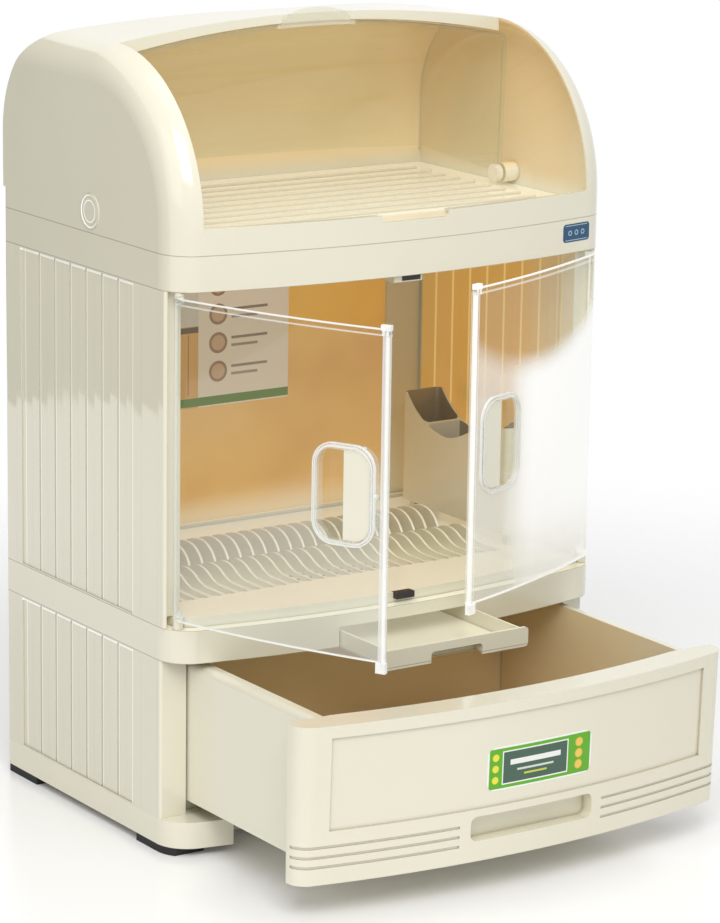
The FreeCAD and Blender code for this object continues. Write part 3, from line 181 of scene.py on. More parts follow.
class Surface:
    """A material with one Principled shader, and a method that adds any other node."""

    def __init__(self, name, **values):
        self.material = bpy.data.materials.new(name)
        self.material.use_nodes = True
        self.tree = self.material.node_tree
        self.shader = self.tree.nodes["Principled BSDF"]
        self.result = self.tree.nodes["Material Output"]
        for socket_name, value in values.items():
            self.feed(socket_name.replace("_", " "), value)

    def feed(self, name, value):
        self._set(self.shader.inputs[name], value)

    def _set(self, socket, value):
        if isinstance(value, Socket):
            self.tree.links.new(value.output, socket)
        else:
            socket.default_value = value

    def add(self, kind, settings=None, *values, **named):
        node = self.tree.nodes.new(kind)
        for name, value in (settings or {}).items():
            setattr(node, name, value)
        for socket, value in zip(node.inputs, values):
            if value is not None:
                self._set(socket, value)
        for name, value in named.items():
            self._set(node.inputs[name.replace("_", " ")], value)
        return Added(self, node)

    def mix(self, share, first, second):
        """A colour between two colours."""
        node = self.add("ShaderNodeMix", {"data_type": "RGBA"})
        self._set(node.node.inputs["Factor"], share)
        for socket in node.node.inputs:
            if socket.type == "RGBA":
                self._set(socket, first if socket.identifier.startswith("A") else second)
        return next(Socket(self, socket) for socket in node.node.outputs if socket.type == "RGBA")

    def noise(self, scale, detail=2.0, roughness=0.5):
        place = self.add("ShaderNodeTexCoord").out("Object")
        values = {"Vector": place, "Scale": scale, "Detail": detail, "Roughness": roughness}
        node = self.add("ShaderNodeTexNoise", None, **values)
        return Socket(self, node.node.outputs[0])

    def place(self):
        """X, Y and Z of a point of the piece, in metres."""
        split = self.add("ShaderNodeSeparateXYZ", None, self.add("ShaderNodeTexCoord").out("Object"))
        return split.out("X"), split.out("Y"), split.out("Z")

    def facing(self):
        """X, Y and Z of the direction in which the surface looks."""
        split = self.add("ShaderNodeSeparateXYZ", None, self.add("ShaderNodeTexCoord").out("Normal"))
        return split.out("X"), split.out("Y"), split.out("Z")

    def soften(self, radius, height=None, strength=0.0, distance=0.0):
        """Rounds the look of every edge, under an optional fine bump."""
        edge = self.add("ShaderNodeBevel", {"samples": 6}, radius).out("Normal")
        if height is None:
            self.feed("Normal", edge)
            return
        values = {"Strength": strength, "Distance": distance, "Height": height, "Normal": edge}
        self.feed("Normal", self.add("ShaderNodeBump", None, **values).out("Normal"))


def cover(material, *names):
    """Gives the named pieces of the solid model one material."""
    for name in names:
        mesh = nodes[name].data
        mesh.materials.clear()
        mesh.materials.append(material)


# %% [markdown]
# Moulded ivory plastic is glossy, and large flat panels of it are a little wavy, so that a reflection
# in them has a bent edge. Painted shade darkens the narrow joints between two mouldings and the
# crevices of a piece, and painted highlights lay thin bright lines on rounded edges. Light also goes
# into the plastic and comes out warmer, so the inner walls of a box made of it glow amber where little
# light comes in from the front. A mask that knows the inner side of a piece paints this glow as a
# warmer colour, and a little light of its own stands for the light that comes through the wall.

# %% Ivory colours
IVORY = paint(232, 228, 208)
IVORY_WARM = paint(228, 222, 199)
# This pale white is the colour of painted highlight lines.
HIGHLIGHT_WHITE = paint(250, 249, 243)
# Crevice shade is the colour of painted shade in joints, seams and crevices.
CREVICE_SHADE = paint(150, 138, 110)
TAN = paint(232, 208, 160)
AMBER = paint(230, 196, 136)
AMBER_DEEP = paint(224, 178, 96)
GROOVE_GLOW = paint(255, 228, 152)
# Shade brown is painted shade in hollows and on inner walls out of the light.
SHADE_BROWN = paint(150, 130, 98)
# This orange is part of the cloudy painted glow of a back sheet.
GLOW_ORANGE = paint(204, 148, 74)
BLACK = (0, 0, 0, 1)

# %% Ivory plastic
HALF_WIDTH = 250 * MM
GROOVE_PITCH = 30.2 * MM
GROOVE_START = 46.6 * MM
SEAM_HEIGHTS = (191.5 * MM, 224 * MM, 547.5 * MM, 581.3 * MM)
SEAM_HALF = 0.45 * MM
JOINT_REACH = 4 * MM
HIGHLIGHT_GLOW = 0.28
PLAIN_WAVE = 1.2 * MM
SIDE_WAVE = 1.3 * MM
SIDE_TWIST = 0.011
TWIST_LEVEL = 400 * MM


def ivory_plastic(name, inside=None, shine=0.16, glow=0.0, edge=0.5 * MM, highlights=None, wavy=False):
    """Glossy ivory with painted shade in its joints and crevices, and soft edges.

    Inside is a mask with a warmer colour of painted glow or shade, and the other mask paints highlight
    lines.
    """
    coat = 0.0 if wavy else 0.5
    surface = Surface(name, IOR=1.75 if wavy else 1.5, Coat_Weight=coat, Coat_Roughness=0.04)
    broad = surface.noise(3.0).spread(0.35, 0.65)
    colour = surface.mix(broad * 0.4, IVORY, IVORY_WARM)
    light = BLACK
    # The inside mask paints a warmer colour for glow or shade, and with glow that colour also gives off
    # light of its own.
    if inside is not None:
        share, warm = inside(surface)
        colour = surface.mix(share, colour, warm)
        if glow:
            light = surface.mix(share, BLACK, warm)
    # Painted shade: ambient occlusion darkens the crevices and joints of a piece towards the crevice shade
    # colour.
    shade = {"samples": 4, "only_local": True}
    open_air = surface.add("ShaderNodeAmbientOcclusion", shade, None, JOINT_REACH).out("AO")
    colour = surface.mix((1 - open_air.spread(0.1, 0.95)) * 0.75, colour, CREVICE_SHADE)
    # Painted highlights: bright lines in the colour, which also give off a little light of their own.
    if highlights is not None:
        lines = highlights(surface)
        colour = surface.mix(lines, colour, HIGHLIGHT_WHITE)
        light = surface.mix(lines, light, HIGHLIGHT_WHITE)
    surface.feed("Emission Color", light)
    surface.feed("Emission Strength", glow or HIGHLIGHT_GLOW)
    # Painted shade in the seams where one moulding stands on the next.
    surface.feed("Base Color", surface.mix(seam_shade(surface) * 0.6, colour, CREVICE_SHADE))
    surface.feed("Roughness", surface.noise(9.0, 2.0).spread(0.3, 0.8) * 0.05 + shine)
    if wavy:
        surface.soften(edge, surface.noise(9.0, 1.0) * SIDE_WAVE + strip_twist(surface), 1.0, 1.0)
    else:
        surface.soften(edge, surface.noise(11.0, 1.0), 0.6, PLAIN_WAVE)
    return surface.material


def strip_twist(surface):
    """Each strip between two grooves is twisted a little, so that it breaks a reflection."""
    _, along, height = surface.place()
    across = (along - GROOVE_START) % GROOVE_PITCH / GROOVE_PITCH - 0.5
    return across * (height - TWIST_LEVEL) * SIDE_TWIST


def seam_shade(surface):
    """1 beside the lines where one moulding stands on the next, on upright faces, where painted shade
    darkens the seam.
    """
    height = surface.place()[2]
    upright = abs(surface.facing()[2]).below(0.3)
    lines = None
    for value in SEAM_HEIGHTS:
        line = abs(height - value).below(SEAM_HALF)
        lines = line if lines is None else lines.most(line)
    return lines * upright


# %% Painted highlight lines of the side panels and of the caps
UPPER_PANEL = (226 * MM, 546 * MM)
LOWER_PANEL = (36 * MM, 190 * MM)
PANEL_FRONT = 32 * MM
PANEL_BACK = 249 * MM
PANEL_SUNK = 1.6 * MM
FRONT_LINE = 33.2 * MM
LINE_HALF = 1.3 * MM
GROOVE_LINE = 2.2 * MM
GROOVE_LINE_HALF = 0.7 * MM
VISOR_AXIS = (112 * MM, 602 * MM)
RING_MIDDLE = 12.8 * MM
RING_APART = 2.4 * MM
RING_HALF = 0.5 * MM
CAP_SUNK = 1.5 * MM


def side_highlights(sign, low, high):
    """Painted highlights on the rounded edges of a side's sunk panel, and on one edge of each groove."""

    def mask(surface):
        across, along, height = surface.place()
        outer = (across * sign).above(HALF_WIDTH - PANEL_SUNK) * (surface.facing()[0] * sign).above(-0.5)
        inside = along.above(PANEL_FRONT) * along.below(PANEL_BACK) * height.above(low) * height.below(high)
        top = abs(height - high + LINE_HALF).below(LINE_HALF)
        side = abs(along - FRONT_LINE).below(LINE_HALF)
        beside = (along - GROOVE_START + GROOVE_LINE) % GROOVE_PITCH - GROOVE_PITCH / 2
        groove = abs(beside).below(GROOVE_LINE_HALF)
        return outer * inside * (top * 0.8).most(side * 0.7).most(groove * 0.5)

    return mask


def cap_ring_highlights(surface):
    """Two painted highlight rings on the cap that closes the visor's bore."""
    across, along, height = surface.place()
    aside, up = along - VISOR_AXIS[0], height - VISOR_AXIS[1]
    reach = (aside * aside + up * up) ** 0.5
    outer = abs(across).above(HALF_WIDTH - CAP_SUNK)
    return outer * abs(abs(reach - RING_MIDDLE) - RING_APART).below(RING_HALF)


# %% Inner sides of the ivory pieces, with painted glow and shade
HOOD_MIDDLE = (0, 100 * MM, 620 * MM)
BAND_PITCH = 34 * MM
BAND_SOFT = 4 * MM
TUB_MIDDLE = (0, -90 * MM, 120 * MM)
TUB_RIM = 170 * MM
BACK_SHEET = 268 * MM
WALL_SUNK = 1.5 * MM
STRIPE_HALF = 1.6 * MM
POCKETS = ((214 * MM, 190 * MM, 300 * MM), (214 * MM, 60 * MM, 300 * MM))
LIP_BACK = -35 * MM
TRAY_LOW = 500 * MM


def inward(surface, centre):
    """1 on the faces that look towards a point inside the piece, and 0 on the others."""
    total = None
    for there, look, middle in zip(surface.place(), surface.facing(), centre):
        term = (there - middle) * look
        total = term if total is None else total + term
    return total.below(0.0)


def hood_inner_glow(surface):
    """Painted glow makes the hood's inner side tan, and pale near its foot, with faint bands across, and
    painted shade browns its inner wall that faces left.
    """
    _, along, height = surface.place()
    band = abs((height + along * 0.5) % BAND_PITCH - BAND_PITCH / 2).spread(0.0, BAND_SOFT)
    warm = surface.mix(height.spread(0.60, 0.74), TAN, AMBER)
    warm = surface.mix(band * 0.12, warm, IVORY_WARM)
    # Painted shade on the inner wall that faces left.
    warm = surface.mix(surface.facing()[0].below(-0.5) * 0.35, warm, SHADE_BROWN)
    hem = surface.facing()[1].below(-0.7) * along.below(0.12)
    share = inward(surface, HOOD_MIDDLE) * height.spread(0.588, 0.612) * (1 - hem)
    return share * along.spread(-0.055, 0.03) * 0.9, warm


def tub_inner_glow(surface):
    """Painted glow makes the tub's inner side amber, more so towards its back, but its rim is plain."""
    _, along, height = surface.place()
    rim = surface.facing()[2].above(0.5) * height.above(TUB_RIM)
    share = inward(surface, TUB_MIDDLE) * (1 - rim)
    warm = surface.mix(height.spread(0.04, 0.18), AMBER, TAN)
    return share * (along.spread(-0.24, -0.10) * 0.35 + 0.4), warm


def back_inner_glow(surface):
    """Painted glow makes the inner side of a back sheet golden and cloudy, and a painted reflection makes
    it pale near the floor.
    """
    forward = surface.facing()[1].below(-0.5)
    cloudy = surface.mix(surface.noise(7.0, 3.0).spread(0.4, 0.7) * 0.5, AMBER_DEEP, GLOW_ORANGE)
    return forward, surface.mix(surface.place()[2].spread(0.225, 0.265), TAN, cloudy)


def side_inner_glow(sign):
    """Painted glow on the inner side of a side panel, brighter in a stripe behind each groove of its outer
    side.
    """

    def mask(surface):
        across, along, height = surface.place()
        inner = (surface.facing()[0] * sign).below(-0.5) * (across * sign).below(HALF_WIDTH - WALL_SUNK)
        inner = inner * along.below(BACK_SHEET)
        stripe = abs((along - GROOVE_START) % GROOVE_PITCH - GROOVE_PITCH / 2).below(STRIPE_HALF)
        deep = along.spread(-0.02, 0.10)
        warm = surface.mix(deep * height.spread(0.23, 0.36), TAN, AMBER_DEEP)
        return inner * (deep * 0.6 + 0.35), surface.mix(stripe * 0.9, warm, GROOVE_GLOW)

    return mask


def holder_inside(surface):
    """The two pockets of the cutlery holder are in shade."""
    back_pocket, front_pocket = (inward(surface, middle) for middle in POCKETS)
    return back_pocket.least(front_pocket) * 0.8, SHADE_BROWN


def upward_glow(surface):
    """Painted light on floors inside the box, for the light that they get from its walls as well, but not
    on the tray's rim at the lip.
    """
    _, along, height = surface.place()
    rim = along.below(LIP_BACK) * height.above(TRAY_LOW)
    return surface.facing()[2].above(0.3) * (1 - rim), IVORY


# %% Ivory pieces


def side_plastic(name, sign, span, inside=None, glow=0.0):
    return ivory_plastic(name, inside, 0.03, glow, highlights=side_highlights(sign, *span), wavy=True)


cover(ivory_plastic("ivory_plastic"), "base_plate", "top_frame", "drawer_front", "upper_catch",
      "door_left_grip_plate", "door_right_grip_plate")
# Glow is painted light of its own, standing for the light that comes through the plastic.
cover(ivory_plastic("hood_plastic", hood_inner_glow, shine=0.12, glow=0.2), "hood")
cover(ivory_plastic("tub_plastic", tub_inner_glow, shine=0.18), "drawer_tub")
cover(ivory_plastic("back_sheet_plastic", back_inner_glow, shine=0.22, glow=0.3), "middle_back", "lower_back")
cover(side_plastic("left_panel_plastic", -1, UPPER_PANEL, side_inner_glow(-1)), "middle_side_left")
cover(side_plastic("right_panel_plastic", 1, UPPER_PANEL, side_inner_glow(1), 0.3), "middle_side_right")
cover(side_plastic("lower_left_plastic", -1, LOWER_PANEL), "lower_side_left")
cover(side_plastic("lower_right_plastic", 1, LOWER_PANEL), "lower_side_right")
rack_ivory = ivory_plastic("rack_plastic", upward_glow, shine=0.2, glow=0.26, edge=0.8 * MM)
cover(rack_ivory, "plate_rack", "drain_tray")
cover(ivory_plastic("floor_plastic", upward_glow, glow=0.28), "middle_base", "drip_tray")
cover(ivory_plastic("cap_plastic", highlights=cap_ring_highlights), "pivot_cap_left", "pivot_cap_right")
cover(ivory_plastic("holder_plastic", holder_inside, shine=0.22), "cutlery_holder")

# %% [markdown]
# The doors and the visor are thin clear plastic. A thin sheet hardly bends the light, so a transparent
# shader shows what lies behind it, and a gloss shader lays the reflections of the room over it, more
# of them at a flat angle. The cut edges gather light and look white, so the faces that form an edge
# get a white share of painted highlight. The wider turned parts, such as the doors' rods and the visor's
# pivots, are milky, and painted highlight lines run along the rods. A painted reflection on each door
# stands for the white room and the pale floor that it reflects.

# %% Clear plastic
CLEAR = paint(251, 252, 250)
MILK = paint(250, 250, 248)
CREAM = paint(244, 238, 220)
TAB_BODY = paint(240, 236, 220)
SHADOW_SHARE = 0.4


def clear_sheet(name, white=None, milk=0.0, body=MILK, glow=0.0):
    """Clear plastic with a milky share. White is a mask of the places that are whiter; on the doors and
    cups these are painted highlights and reflections.
    """
    surface = Surface(name, Base_Color=body, Roughness=0.2, IOR=1.45)
    # Glow is painted light that the whiter places give off.
    surface.feed("Emission Color", body)
    surface.feed("Emission Strength", glow)
    edge = surface.add("ShaderNodeBevel", {"samples": 6}, 0.8 * MM).out("Normal")
    surface.feed("Normal", edge)
    passing = surface.add("ShaderNodeBsdfTransparent", None, CLEAR).out("BSDF")
    gloss = surface.add("ShaderNodeBsdfAnisotropic", None, Roughness=0.03, Normal=edge).out("BSDF")
    bent = surface.add("ShaderNodeFresnel", None, IOR=1.5, Normal=edge).out("Fac")
    outer = 1 - surface.add("ShaderNodeNewGeometry").out("Backfacing")
    lit = 1 - surface.add("ShaderNodeLightPath").out("Is Shadow Ray")
    sheet = surface.add("ShaderNodeMixShader", None, bent * outer * lit, passing, gloss).out("Shader")
    share = lit * (1 - SHADOW_SHARE) + SHADOW_SHARE
    share = share * milk if white is None else share * white(surface).most(milk)
    solid = Socket(surface, surface.shader.outputs["BSDF"])
    whole = surface.add("ShaderNodeMixShader", None, share, sheet, solid)
    surface.tree.links.new(whole.node.outputs["Shader"], surface.result.inputs["Surface"])
    return surface.material


# %% Where painted highlights and reflections make a door white
PIVOT_X = 238 * MM
PIVOT_Y = -31 * MM
DOOR_FRONT = -70 * MM
DOOR_LOW = 234.4 * MM
DOOR_HIGH = 543.0 * MM
BOW_RADIUS = 1056.67 * MM
LEFT_DOOR = (-1, 61)
RIGHT_DOOR = (1, 17)
ROD_ACROSS = 5.5 * MM
ROD_HALF = 3.5 * MM
ROD_CORE = 1.0 * MM
RIM = 1.2 * MM
UNDER_TOP = 6 * MM
UNDER_TOP_HALF = 0.5 * MM
BACK_EDGE = -28 * MM
CUP_ACROSS = 46 * MM
CUP_HEIGHT = 387 * MM
CUP_FLAT_ACROSS = 11 * MM
CUP_FLAT_UP = 26 * MM
CUP_RIM = 19.8 * MM
CUP_RIM_APART = 1.5 * MM
CUP_RIM_HALF = 0.8 * MM
CUP_RIM_DEPTH = 1.8 * MM
CUP_WALL = 17.2 * MM
REFLECTION_ACROSS = 120 * MM
RIGHT_REFLECTION_TOP = 466 * MM
RIGHT_REFLECTION_BEND = 2.6
LEFT_REFLECTION_TOP = 440 * MM
LEFT_REFLECTION_SLOPE = 0.35


def shut_place(surface, side, angle):
    """Where a point would be with the door shut. Across counts from the middle to the hinge."""
    across, along, height = surface.place()
    swing = math.radians(angle) * side
    aside = across - side * PIVOT_X
    forth = along - PIVOT_Y
    shut_across = aside * math.cos(swing) + forth * math.sin(swing) + side * PIVOT_X
    shut_along = forth * math.cos(swing) - aside * math.sin(swing) + PIVOT_Y
    return shut_across * side, shut_along, height


def right_reflection(surface, across, height):
    """A painted reflection of the white room in the right door, where the door is seen at a flat angle."""
    flat = surface.add("ShaderNodeLayerWeight", None, 0.5).out("Facing").spread(0.30, 0.42)
    away = across - REFLECTION_ACROSS
    level = (away * away * RIGHT_REFLECTION_BEND + RIGHT_REFLECTION_TOP - height).spread(-0.004, 0.03)
    low = height.spread(0.238, 0.31) * 0.5 + 0.5
    return (across.spread(0.055, 0.115) * 0.63 + 0.28) * level * low * flat


def left_reflection(surface, across, height):
    """A painted reflection of the pale floor in the lower part of the left door."""
    return (LEFT_REFLECTION_TOP - across * LEFT_REFLECTION_SLOPE - height).spread(-0.01, 0.06) * 0.12


def panel_white(side, angle, reflection):
    """Painted highlights on the rod at the free edge, on the cut edges and in a line under the top, and a
    painted reflection.
    """

    def mask(surface):
        across, along, height = shut_place(surface, side, angle)
        aside = abs(across - ROD_ACROSS)
        rod = (aside.above(ROD_CORE) * 0.5 + 0.3) * aside.below(ROD_HALF)
        rims = height.above(DOOR_HIGH - RIM).most(height.below(DOOR_LOW + RIM)) * 0.85
        line = abs(height - DOOR_HIGH + UNDER_TOP).below(UNDER_TOP_HALF) * 0.5
        back_edge = along.above(BACK_EDGE) * 0.8
        return rod.most(rims).most(line).most(back_edge).most(reflection(surface, across, height))

    return mask


def cup_white(side, angle):
    """Painted highlights on the raised rim all round the cup, and a faint painted reflection on its back
    edges.
    """

    def mask(surface):
        across, along, height = shut_place(surface, side, angle)
        behind = along - DOOR_FRONT - across * across / (2 * BOW_RADIUS)
        aside = (abs(across - CUP_ACROSS) - CUP_FLAT_ACROSS).most(0.0)
        up = (abs(height - CUP_HEIGHT) - CUP_FLAT_UP).most(0.0)
        reach = (aside * aside + up * up) ** 0.5
        lines = abs(abs(reach - CUP_RIM) - CUP_RIM_APART).below(CUP_RIM_HALF)
        rim = behind.below(CUP_RIM_DEPTH) * (lines * 0.5 + 0.25)
        return rim.most(reach.above(CUP_WALL) * 0.16)

    return mask


def tab_white(surface):
    """The tab at the top of the visor looks like the hood behind it."""
    across, _, height = surface.place()
    return abs(across).below(0.045) * height.above(0.762) * 0.35


cover(clear_sheet("left_door_plastic", panel_white(*LEFT_DOOR, left_reflection), 0.012), "door_left_panel")
right_panel = clear_sheet("right_door_plastic", panel_white(*RIGHT_DOOR, right_reflection), 0.015, glow=0.2)
cover(right_panel, "door_right_panel")
cover(clear_sheet("left_cup_plastic", cup_white(*LEFT_DOOR), 0.03), "door_left_cup")
cover(clear_sheet("right_cup_plastic", cup_white(*RIGHT_DOOR), 0.03), "door_right_cup")
cover(clear_sheet("visor_plastic", tab_white, 0.03, TAB_BODY), "visor")
cover(clear_sheet("pivot_plastic", None, 0.8, CREAM), "visor_pivot_left", "visor_pivot_right")

# %% [markdown]
# Two small clear bosses sit on the left door beside its cup. Each is placed as if the door were shut,
# and then swung open with it.

# %% Beads beside the left cup
# The beads' milky share paints them as small bright glints, a painted highlight.
bead_plastic = clear_sheet("bead_plastic", None, 0.35)


def bead(name, across, height, radius, side, angle, body):
    """A small clear ball in the bowed panel of a door."""
    along = DOOR_FRONT + across * across / (2 * BOW_RADIUS)
    hinge = Vector((PIVOT_X * side, PIVOT_Y, 0))
    swing = Matrix.Rotation(math.radians(angle) * side, 4, "Z")
    place = swing @ (Vector((across * side, along, height)) - hinge) + hinge
    mesh = bpy.data.meshes.new(name)
    work = bmesh.new()
    bmesh.ops.create_uvsphere(work, u_segments=20, v_segments=12, radius=radius)
    bmesh.ops.translate(work, vec=place, verts=work.verts)
    for face in work.faces:
        face.smooth = True
    work.to_mesh(mesh)
    work.free()
    mesh.materials.append(bead_plastic)
    piece = bpy.data.objects.new(name, mesh)
    bpy.context.scene.collection.objects.link(piece)
    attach(piece, body)


bead("cup_bead_side", 13.5 * MM, 389 * MM, 3.2 * MM, *LEFT_DOOR, "door_left")
bead("cup_bead_top", 25 * MM, 432 * MM, 2.4 * MM, *LEFT_DOOR, "door_left")

# %% [markdown]
# The feet are matte black rubber, the two catches hold a black magnet, and each door has two small
# steel strikes that the magnets pull at. The steel is brushed along its length.

# %% Rubber, magnets and steel


def black_rubber():
    surface = Surface("black_rubber", IOR=1.5)
    dust = surface.noise(60.0, 5.0).spread(0.45, 0.8)
    surface.feed("Base Color", surface.mix(dust * 0.4, paint(30, 30, 32), paint(70, 68, 66)))
    surface.feed("Roughness", dust * 0.2 + 0.62)
    surface.soften(1.0 * MM, surface.noise(500.0), 0.2, 0.3 * MM)
    return surface.material


def magnet_black():
    surface = Surface("magnet_black", IOR=1.5)
    grain = surface.noise(300.0, 3.0)
    surface.feed("Base Color", surface.mix(grain, paint(24, 24, 26), paint(52, 50, 50)))
    surface.feed("Roughness", grain * 0.2 + 0.35)
    surface.soften(0.4 * MM)
    return surface.material


def brushed_steel():
    surface = Surface("brushed_steel", Metallic=1.0)
    streak = surface.add("ShaderNodeMapping", None, surface.add("ShaderNodeTexCoord").out("Object"))
    streak.node.inputs["Scale"].default_value = (900, 900, 30)
    grain = surface.add("ShaderNodeTexNoise", None, Vector=streak.out("Vector"), Scale=1.0, Detail=3.0)
    fine = Socket(surface, grain.node.outputs[0])
    surface.feed("Base Color", surface.mix(fine, paint(150, 150, 152), paint(196, 196, 198)))
    surface.feed("Roughness", fine * 0.2 + 0.25)
    surface.soften(0.3 * MM, fine, 0.1, 0.1 * MM)
    return surface.material


cover(black_rubber(), "foot_back_left", "foot_front_left", "foot_back_right", "foot_front_right")
cover(magnet_black(), "upper_magnet", "lower_magnet")
cover(brushed_steel(), "door_left_strikes", "door_right_strikes")

# %% [markdown]
# Three printed sheets stick to the box: a small plate on the frame, a sticker on the drawer's sunk face
# and a leaflet on the inner back wall. Each is a thin sheet with round corners that follows the
# surface it sticks to, found by a ray from the front. Their faces are plain shapes in a few colours.

# %% Printed sheets
SHEET_THICKNESS = 0.25 * MM
LEAFLET_GLOW = 0.14


def sheet_mesh(name, centre, half_wide, half_tall, corner, target, columns=28, rows=8):
    """A thin sheet in front of a piece. Centre is its X and Z, and it bends as the piece does."""
    surface = target.data
    tree = face_tree(surface)
    work = bmesh.new()
    layers = []
    for lift in (SHEET_THICKNESS, 0.0):
        grid = []
        for column in range(columns + 1):
            turn = math.pi * column / columns
            across = -half_wide * math.cos(turn)
            inside = max(abs(across) - half_wide + corner, 0.0)
            tall = half_tall - corner + math.sqrt(max(corner * corner - inside * inside, 0.0))
            line = []
            for row in range(rows + 1):
                x = centre[0] + across
                z = centre[1] + tall * (2 * row / rows - 1)
                hit = tree.ray_cast(Vector((x, -1.0, z)), Vector((0, 1, 0)))[0]
                line.append(work.verts.new((x, hit.y - lift, z)))
            grid.append(line)
        layers.append(grid)
    front, back = layers
    for column in range(columns):
        for row in range(rows):
            near, far = (column, row), (column + 1, row + 1)
            face = [(near[0], near[1]), (far[0], near[1]), (far[0], far[1]), (near[0], far[1])]
            work.faces.new([front[i][j] for i, j in face])
            work.faces.new([back[i][j] for i, j in reversed(face)])
    rim = [(i, 0) for i in range(columns)] + [(columns, j) for j in range(rows)]
    rim += [(i, rows) for i in range(columns, 0, -1)] + [(0, j) for j in range(rows, 0, -1)]
    for number, (i, j) in enumerate(rim):
        k, m = rim[(number + 1) % len(rim)]
        work.faces.new([front[k][m], front[i][j], back[i][j], back[k][m]])
    bmesh.ops.recalc_face_normals(work, faces=work.faces)
    mesh = bpy.data.meshes.new(name)
    work.to_mesh(mesh)
    work.free()
    piece = bpy.data.objects.new(name, mesh)
    bpy.context.scene.collection.objects.link(piece)
    return piece


def face_tree(mesh):
    """A search tree of a piece's faces, for rays."""
    corners = [vertex.co.copy() for vertex in mesh.vertices]
    return BVHTree.FromPolygons(corners, [list(face.vertices) for face in mesh.polygons])


class Print:
    """A printed face: a ground colour with shapes laid over it one after another."""

    def __init__(self, name, ground, centre, roughness):
        self.surface = Surface(name, Roughness=roughness, IOR=1.5)
        across, _, height = self.surface.place()
        self.across = across - centre[0]
        self.height = height - centre[1]
        self.colour = ground

    def lay(self, share, colour):
        self.colour = self.surface.mix(share, self.colour, colour)
        self.surface.feed("Base Color", self.colour)

    def disc(self, x, z, radius, colour):
        aside, up = self.across - x * MM, self.height - z * MM
        self.lay((aside * aside + up * up).below((radius * MM) ** 2), colour)

    def bar(self, x, z, half_wide, half_tall, colour):
        aside, up = abs(self.across - x * MM), abs(self.height - z * MM)
        self.lay(aside.below(half_wide * MM) * up.below(half_tall * MM), colour)


def stick(name, centre, half_wide, half_tall, corner, target, body, face):
    place = (centre[0] * MM, centre[1] * MM)
    piece = sheet_mesh(name, place, half_wide * MM, half_tall * MM, corner * MM, nodes[target])
    piece.data.materials.append(face(name + "_print", place))
    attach(piece, body)


def plate_face(name, centre):
    face = Print(name, paint(12, 74, 112), centre, 0.25)
    silver = paint(178, 196, 206)
    face.bar(0, 7.2, 15.5, 0.35, silver)
    face.bar(0, -7.2, 15.5, 0.35, silver)
    for number in range(3):
        face.disc(-9 + 9 * number, 0, 2.6, silver)
        face.disc(-9 + 9 * number, 0, 1.7, paint(18, 92, 132))
    return face.surface.material


def sticker_face(name, centre):
    face = Print(name, paint(246, 247, 242), centre, 0.3)
    face.bar(0, 0, 58.6, 19.6, paint(94, 174, 22))
    face.bar(-6, 0, 38, 16.4, paint(246, 247, 242))
    face.bar(-6, 0, 36.8, 15.2, paint(66, 96, 80))
    face.bar(-6, 4.5, 29, 2.6, paint(240, 242, 236))
    face.bar(-6, -3.5, 21, 1.0, paint(214, 220, 210))
    face.bar(-6, -8.5, 13, 0.9, paint(206, 212, 60))
    for height in (-11, 0, 11):
        face.disc(45, height, 4.6, paint(228, 186, 70))
        face.disc(45, height, 3.5, paint(240, 204, 96))
        face.disc(-51.5, height, 3.6, paint(236, 228, 70))
    return face.surface.material


def leaflet_face(name, centre):
    face = Print(name, paint(240, 228, 212), centre, 0.4)
    face.bar(-52, 0, 42, 80, paint(226, 180, 112))
    face.bar(-52, 40, 42, 28, paint(222, 216, 204))
    face.bar(-52, 8, 42, 3, paint(120, 104, 88))
    for x in (-82, -62, -42, -22):
        face.bar(x, -28, 0.8, 32, paint(186, 142, 88))
    for x, z in ((14, 52), (14, 22), (14, -8), (14, -38)):
        face.disc(x, z, 11, paint(166, 134, 104))
        face.disc(x, z, 8, paint(212, 180, 146))
        face.bar(52, z + 4, 22, 1.4, paint(150, 136, 120))
        face.bar(46, z - 4, 16, 1.4, paint(168, 152, 136))
    face.bar(0, -68, 100, 4.5, paint(106, 138, 48))
    # Painted light: the leaflet gives off a little light of its own, so that it shows bright behind the
    # door.
    face.surface.feed("Emission Color", face.colour)
    face.surface.feed("Emission Strength", LEAFLET_GLOW)
    return face.surface.material


stick("frame_plate", (206, 567.5), 18.6, 9.0, 3.5, "top_frame", "cabinet", plate_face)
stick("drawer_sticker", (7.5, 121), 60.5, 21.3, 9, "drawer_front", "drawer", sticker_face)
stick("leaflet", (-18, 428), 100, 74, 1, "middle_back", "cabinet", leaflet_face)

# %% [markdown]
# The studio is a pale floor that fades into a white backdrop, so that no horizon shows. Large soft
# lamps stand to the left, in front and above. The white of the background comes only to the camera,
# to reflections and to what is seen through the clear plastic, so that it doesn't light the box.

# %% Floor
FLOOR_SIZE = 6.0
FLOOR_CLEAR = 0.6
FLOOR_GONE = 1.5
FLOOR_COLOUR = paint(254, 254, 254)
FLOOR_LIFT = 0.03


def floor_surface():
    surface = Surface("floor", Base_Color=FLOOR_COLOUR, Roughness=0.2, IOR=1.4)
    surface.feed("Emission Color", FLOOR_COLOUR)
    surface.feed("Emission Strength", FLOOR_LIFT)
    across, along, _ = surface.place()
    distance = (across * across + along * along) ** 0.5
    fade = distance.spread(FLOOR_CLEAR, FLOOR_GONE)
    nothing = surface.add("ShaderNodeBsdfTransparent").out("BSDF")
    solid = Socket(surface, surface.shader.outputs["BSDF"])
    blend = surface.add("ShaderNodeMixShader", None, fade, solid, nothing)
    surface.tree.links.new(blend.node.outputs["Shader"], surface.result.inputs["Surface"])
    return surface.material


